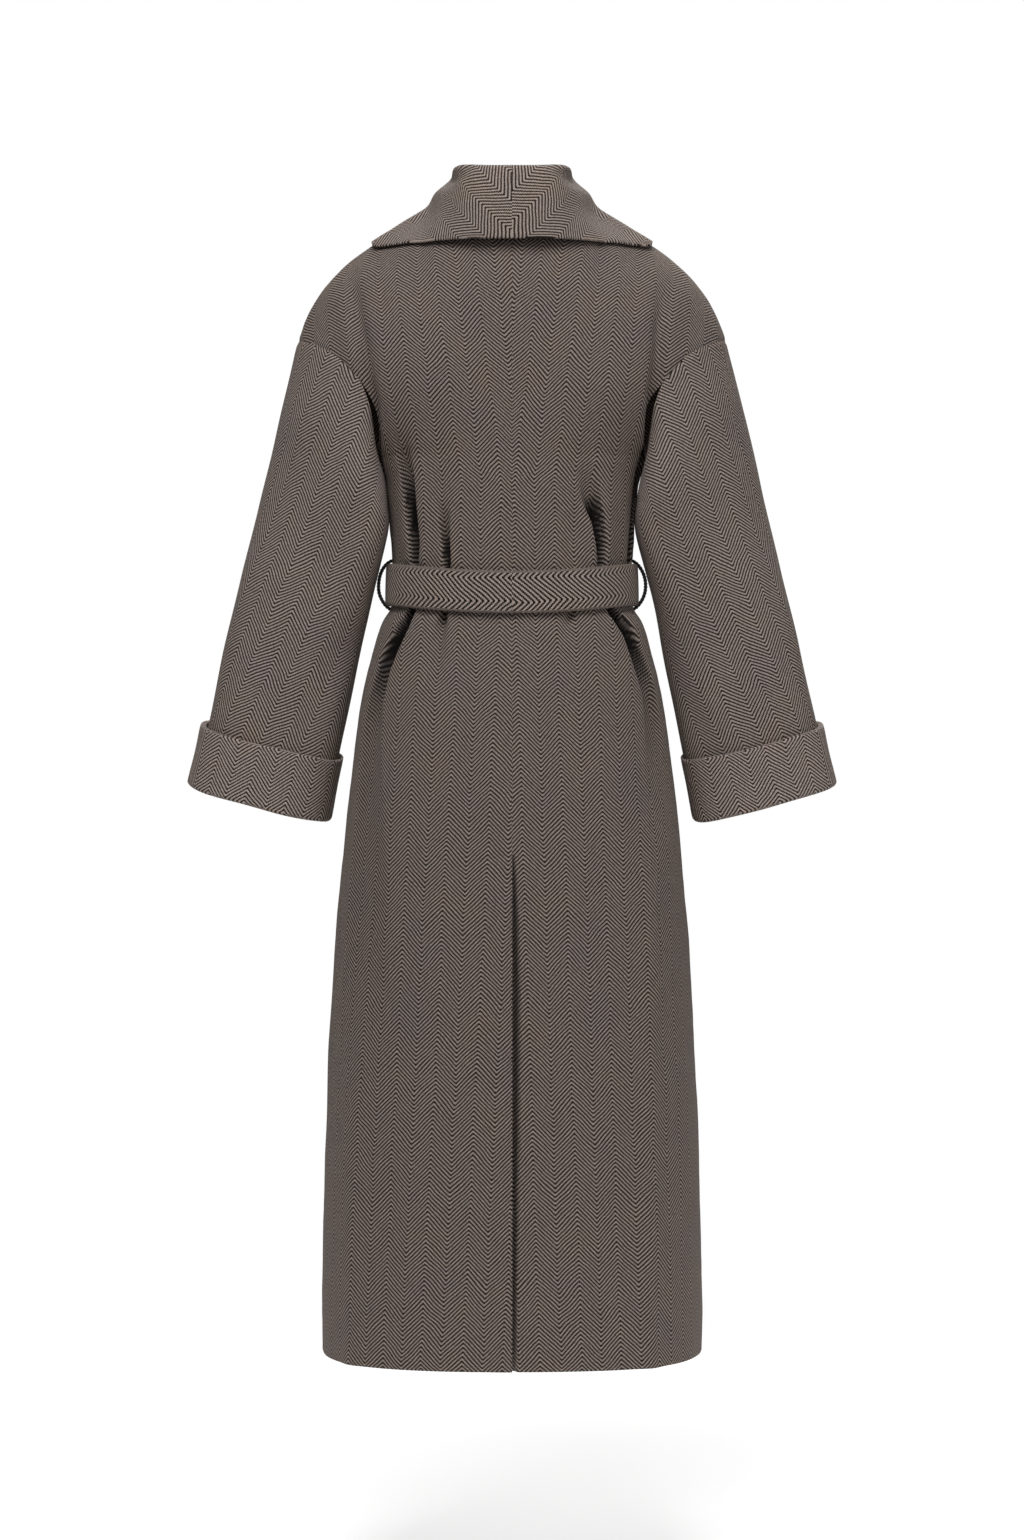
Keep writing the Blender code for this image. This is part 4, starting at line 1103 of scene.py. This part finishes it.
def ribbon(name, centre, across, normal, thick, closed):
    """A strip of doubled cloth along a line, with soft edges."""
    half = np.linalg.norm(across, axis=1)
    section = [(x, 1.0) for x in np.linspace(-1, 1, RIBBON_POINTS)]
    section += [(1 + np.sin(turn), np.cos(turn)) for turn in ROUND]
    section += [(-x, -o) for x, o in section]
    rings = []
    for x, o in section:
        inside = np.clip(x, -1, 1)
        beyond = x - inside
        flat_half = (half - thick / 2) / half
        crown = 1 + RIBBON_CROWN * (1 - inside**2) if o > 0 else 1.0
        sideways = inside * flat_half + beyond * thick / 2 / half
        rings.append(centre + across * sideways[:, None] + normal * (o * crown * thick / 2)[:, None])
    grid = np.stack(rings, axis=1)
    path = np.vstack([centre, centre[:1]]) if closed else centre
    run = lengths(path)
    offsets = np.array([x * half.max() * np.sign(o + 1e-9) for x, o in section] + [-half.max()])
    u, v = np.meshgrid(offsets + BELT_GRAIN, run)
    # Belt, knot and tails use the belt's wool, painted with more contrast.
    skin(name, grid, np.stack([u, v], axis=-1) * BELT_FINE, "belt", closed)


def make_belt():
    """The belt round the waist; gives back how far it stands out in front."""
    shares = np.linspace(0, 1, BELT_STATIONS // 4 + 1)
    rows = []
    for level in BELT_LEVELS:
        line = []
        for face, order in (("back", shares), ("front", shares[::-1])):
            row = half_row(face, level)
            points = points_at(row, order * lengths(row)[-1])
            lift = lap_lift(order, points[:, 2], level) if face == "front" else np.zeros(len(order))
            line.append(np.column_stack([points, lift]))
        half = np.vstack([line[0], line[1][1:]])
        rows.append(np.vstack([half, half[-2:0:-1] * np.array([-1.0, 1.0, 1.0, 1.0])]))
    top, low = rows
    middle = (top[:, :3] + low[:, :3]) / 2
    ahead = np.roll(middle, -1, axis=0) - np.roll(middle, 1, axis=0)
    normal = unit(np.cross(ahead, np.array([0.0, 0.0, 1.0])))
    normal *= np.sign(np.sum(normal * middle))
    reach = np.maximum(top[:, 3], low[:, 3]) + BELT_GAP + BELT_THICK / 2
    across = (top[:, :3] - low[:, :3]) / 2
    across = unit(across) * BELT_HEIGHT / 2
    centre = middle + normal * reach[:, None]
    thick = np.full(len(centre), BELT_THICK)
    ribbon("belt_band", centre, across, normal, thick, True)
    return centre[:, 1].min() - BELT_THICK / 2


def make_loop(side, tree):
    """A thread loop at the side seam, twisted from two strands."""
    curve = bpy.data.curves.new(f"belt_loop_{side}", "CURVE")
    curve.dimensions = "3D"
    curve.bevel_depth = LOOP_RADIUS * LOOP_STRAND
    curve.bevel_resolution = 3
    curve.use_fill_caps = True
    inward = Vector((-SIDES[side], 0.0, 0.0))
    line = []
    for step in np.linspace(-1, 1, LOOP_POINTS):
        z = BELT_Z - step * LOOP_HALF_HEIGHT
        reach = LOOP_STAND * np.sqrt(max(0.0, 1 - abs(step) ** LOOP_SQUARE))
        hit = tree.ray_cast(Vector((SIDES[side] * LOOP_CLEAR, LOOP_SET_BACK, z)), inward)[0]
        line.append((SIDES[side] * (abs(hit.x) + reach - LOOP_SUNK), LOOP_SET_BACK, z))
    line = np.array(line)
    run = lengths(line)
    ahead = unit(np.gradient(line, axis=0))
    sideways = np.array([0.0, 1.0, 0.0])
    upward = unit(np.cross(ahead, sideways))
    for start in (0.0, np.pi):
        strand = curve.splines.new("POLY")
        strand.points.add(len(line) - 1)
        turn = (run / LOOP_PITCH * 2 * np.pi + start)[:, None]
        twisted = line + LOOP_RADIUS * LOOP_TWIST * (np.cos(turn) * sideways + np.sin(turn) * upward)
        strand.points.foreach_set("co", np.column_stack([twisted, np.ones(len(line))]).ravel())
    add_piece(f"belt_loop_{side}", curve, "thread")


def make_tail(tail, tree):
    """A belt end hanging from the knot down the front."""
    inward = Vector((0.0, 1.0, 0.0))
    centre, across = [], []
    for step in np.linspace(0, 1, TAIL_POINTS):
        x = tail.x_top + (tail.x_end - tail.x_top) * step
        z = TAIL_TOP + (tail.z_end - TAIL_TOP) * step
        half = BELT_HEIGHT / 2 * (TAIL_STEM + (1 - TAIL_STEM) * ease(step / TAIL_SPREAD))
        hits = [tree.ray_cast(Vector((x + k * half, -TAIL_CLEAR, z)), inward)[0] for k in (-1, 0, 1)]
        depth = min(hit.y for hit in hits)
        slope = (hits[2].y - hits[0].y) / 2
        centre.append((x, depth + abs(slope) / 2 - TAIL_GAP - TAIL_THICK / 2, z))
        across.append((half, slope / 2, 0.0))
    centre, across = np.array(centre), np.array(across)
    normal = unit(np.cross(across, np.gradient(centre, axis=0)))
    normal *= np.sign(-normal[:, 1:2])
    thick = np.full(len(centre), TAIL_THICK)
    thick[[0, -1]] = TAIL_ENDS
    ribbon(tail.name, centre, across, normal, thick, False)


def make_knot(front_y):
    """The knot of the belt."""
    turn = np.linspace(-0.5, 0.5, KNOT_POINTS) * np.radians(KNOT_TURN)
    x = KNOT_X + KNOT_LEAN * np.sin(turn)
    y = front_y - KNOT_OUT - KNOT_DEEP * np.cos(turn)
    z = BELT_Z - BELT_FALL * front_y + KNOT_HIGH * np.sin(turn)
    centre = np.stack([x, y, z], axis=1)
    normal = unit(np.stack([0 * turn, -np.cos(turn) / KNOT_DEEP, np.sin(turn) / KNOT_HIGH], axis=1))
    across = np.stack([KNOT_HALF + KNOT_FLARE * np.abs(np.sin(turn)), 0 * turn, 0 * turn], axis=1)
    thick = np.full(len(turn), KNOT_THICK)
    ribbon("belt_knot", centre, across, normal, thick, False)


def node(tree, kind, **settings):
    """A shader node with some of its settings."""
    made = tree.nodes.new("ShaderNode" + kind)
    for key, value in settings.items():
        setattr(made, key, value)
    return made


def link(tree, source, target):
    """Joins an output to an input, or sets it to a number or colour."""
    if isinstance(source, tuple):
        target.default_value = (*source, 1.0)
    elif isinstance(source, (int, float)):
        target.default_value = source
    else:
        tree.links.new(source, target)


def math(tree, operation, first, second=0.0, third=0.0):
    """The result of one sum on shader values."""
    made = node(tree, "Math", operation=operation)
    for source, target in zip((first, second, third), made.inputs):
        link(tree, source, target)
    return made.outputs[0]


def map_range(tree, value, limits, **settings):
    """A value spread from one pair of limits to another."""
    made = node(tree, "MapRange", **settings)
    tree.links.new(value, made.inputs["Value"])
    for key, limit in zip(("From Min", "From Max", "To Min", "To Max"), limits):
        made.inputs[key].default_value = limit
    return made.outputs["Result"]


def fleck(tree, place, kind):
    """Noise of one kind."""
    row = FLECKS[kind]
    made = node(tree, "TexNoise")
    tree.links.new(place, made.inputs["Vector"])
    made.inputs["Scale"].default_value = row.scale
    made.inputs["Detail"].default_value = row.detail
    return map_range(tree, made.outputs["Fac"], (*FLECK_FROM, row.low, row.high))


def mix(tree, share, first, second, blend="MIX"):
    """Two colours mixed by a share."""
    made = node(tree, "Mix", data_type="RGBA", blend_type=blend)
    link(tree, share, made.inputs["Factor"])
    sockets = {socket.name: socket for socket in made.inputs if socket.type == "RGBA"}
    link(tree, first, sockets["A"])
    link(tree, second, sockets["B"])
    return next(socket for socket in made.outputs if socket.type == "RGBA")


def new_finish(name, look):
    """A new material with some inputs of its shader set, its nodes and those inputs."""
    finish = bpy.data.materials.new(name)
    finish.use_nodes = True
    inputs = finish.node_tree.nodes["Principled BSDF"].inputs
    for key, value in look.items():
        inputs[key].default_value = value
    return finish, finish.node_tree, inputs


def wool(name):
    """Herringbone wool: two yarns in a twill that turns back at each column, with fuzz and flecks."""
    finish, tree, inputs = new_finish(f"herringbone_{name}", LOOKS["wool"])
    place = node(tree, "UVMap", uv_map="weave").outputs["UV"]
    parts = node(tree, "SeparateXYZ")
    tree.links.new(place, parts.inputs["Vector"])
    calc = partial(math, tree)
    noisy = partial(fleck, tree, place)
    u = calc("ADD", parts.outputs["X"], noisy("sway"))
    v = calc("ADD", parts.outputs["Y"], noisy("drift"))
    end = calc("DIVIDE", u, YARN)
    step = calc("MULTIPLY", calc("ADD", calc("FLOOR", end), 0.5), YARN)
    zigzag = calc("PINGPONG", step, COLUMN)
    wave = calc("SINE", calc("MULTIPLY", calc("ADD", v, zigzag), 2 * np.pi / TWILL))
    frayed = calc("ADD", wave, noisy("fray"))
    up = map_range(tree, frayed, (*TWILL_EDGE, 0.0, 1.0), interpolation_type="SMOOTHSTEP")
    warp = calc("ABSOLUTE", calc("SINE", calc("MULTIPLY", end, np.pi)))
    weft = calc("ABSOLUTE", calc("SINE", calc("MULTIPLY", v, np.pi / YARN)))
    yarns = []
    for kind, yarn in zip(YARN_RANGE, YARNS[name]):
        low, high = [tuple(share * c for c in yarn) for share in YARN_RANGE[kind]]
        yarns.append(mix(tree, noisy(kind), low, high))
    colour = mix(tree, up, yarns[1], yarns[0])
    colour = mix(tree, 1.0, colour, mix(tree, noisy("tone"), *TONES), "MULTIPLY")
    # Painted shade: the wool is painted nearly black in the bottom of deep creases
    painted_crease_shade = node(tree, "Attribute", attribute_name="painted_crease_shade").outputs["Fac"]
    tree.links.new(mix(tree, painted_crease_shade, colour, FOLD_SHADE), inputs["Base Color"])
    raised = calc("MULTIPLY", up, calc("ADD", WARP_RELIEF, calc("MULTIPLY", warp, WARP_RELIEF)))
    sunk = calc("MULTIPLY", calc("SUBTRACT", 1.0, up), calc("MULTIPLY", weft, WEFT_RELIEF))
    bump = node(tree, "Bump")
    bump.inputs["Strength"].default_value = RELIEF_STRENGTH
    bump.inputs["Distance"].default_value = RELIEF_DEPTH
    tree.links.new(calc("ADD", calc("ADD", raised, sunk), noisy("fuzz")), bump.inputs["Height"])
    tree.links.new(bump.outputs["Normal"], inputs["Normal"])
    return finish


def thread():
    """Black loop thread."""
    finish, tree, inputs = new_finish("loop_thread", LOOKS["thread"])
    place = node(tree, "TexCoord").outputs["Object"]
    tree.links.new(mix(tree, fleck(tree, place, "thread"), *THREAD_TONES), inputs["Base Color"])
    return finish


def make_stage():
    """Camera, pale floor and soft light."""
    scene = bpy.context.scene
    camera = bpy.data.objects.new("camera", bpy.data.cameras.new("camera"))
    scene.collection.objects.link(camera)
    camera.location = (0.0, CAMERA_DISTANCE, CAMERA_Z)
    camera.rotation_euler = (np.radians(90), 0.0, np.radians(180))
    camera.data.lens = camera.data.sensor_width * CAMERA_DISTANCE / (IMAGE_HEIGHT * SCALE)
    scene.camera = camera
    scene.view_settings.view_transform = "Standard"
    mesh = bpy.data.meshes.new("floor")
    turns = np.linspace(0, 2 * np.pi, FLOOR_POINTS, endpoint=False)
    rim = [(FLOOR_RADIUS * np.cos(turn), FLOOR_RADIUS * np.sin(turn), FLOOR_Z) for turn in turns]
    mesh.from_pydata(rim, [], [range(FLOOR_POINTS)])
    floor = bpy.data.objects.new("floor", mesh)
    scene.collection.objects.link(floor)
    mesh.materials.append(new_finish("floor", FLOOR_LOOK)[0])
    world = bpy.data.worlds.new("studio")
    world.use_nodes = True
    back = world.node_tree.nodes["Background"]
    back.inputs["Color"].default_value = (1.0, 1.0, 1.0, 1.0)
    seen = world.node_tree.nodes.new("ShaderNodeLightPath").outputs["Is Camera Ray"]
    strength = math(world.node_tree, "MULTIPLY_ADD", seen, 1.0 - WORLD_LIGHT, WORLD_LIGHT)
    world.node_tree.links.new(strength, back.inputs["Strength"])
    scene.world = world
    for row in LIGHTS:
        light = bpy.data.objects.new(row.name, bpy.data.lights.new(row.name, "AREA"))
        light.data.size = row.size
        light.data.energy = row.power
        light.location = row.place
        light.rotation_euler = (Vector(LIGHT_AIM) - light.location).to_track_quat("-Z", "Y").to_euler()
        scene.collection.objects.link(light)


FINISHES = {name: wool(name) for name in YARNS}
FINISHES["thread"] = thread()
make_stage()
panels = {f"{face}_{side}": make_panel(face, side) for face in ("back", "front") for side in SIDES}
body_tree = surface_tree([grid for grid, _ in panels.values()])
for side in SIDES:
    make_sleeve(side)
    make_cuff(side)
    make_collar(side, panels[f"back_{side}"], panels[f"front_{side}"])
    make_loop(side, body_tree)
make_knot(make_belt())
for tail in TAILS:
    make_tail(tail, body_tree)
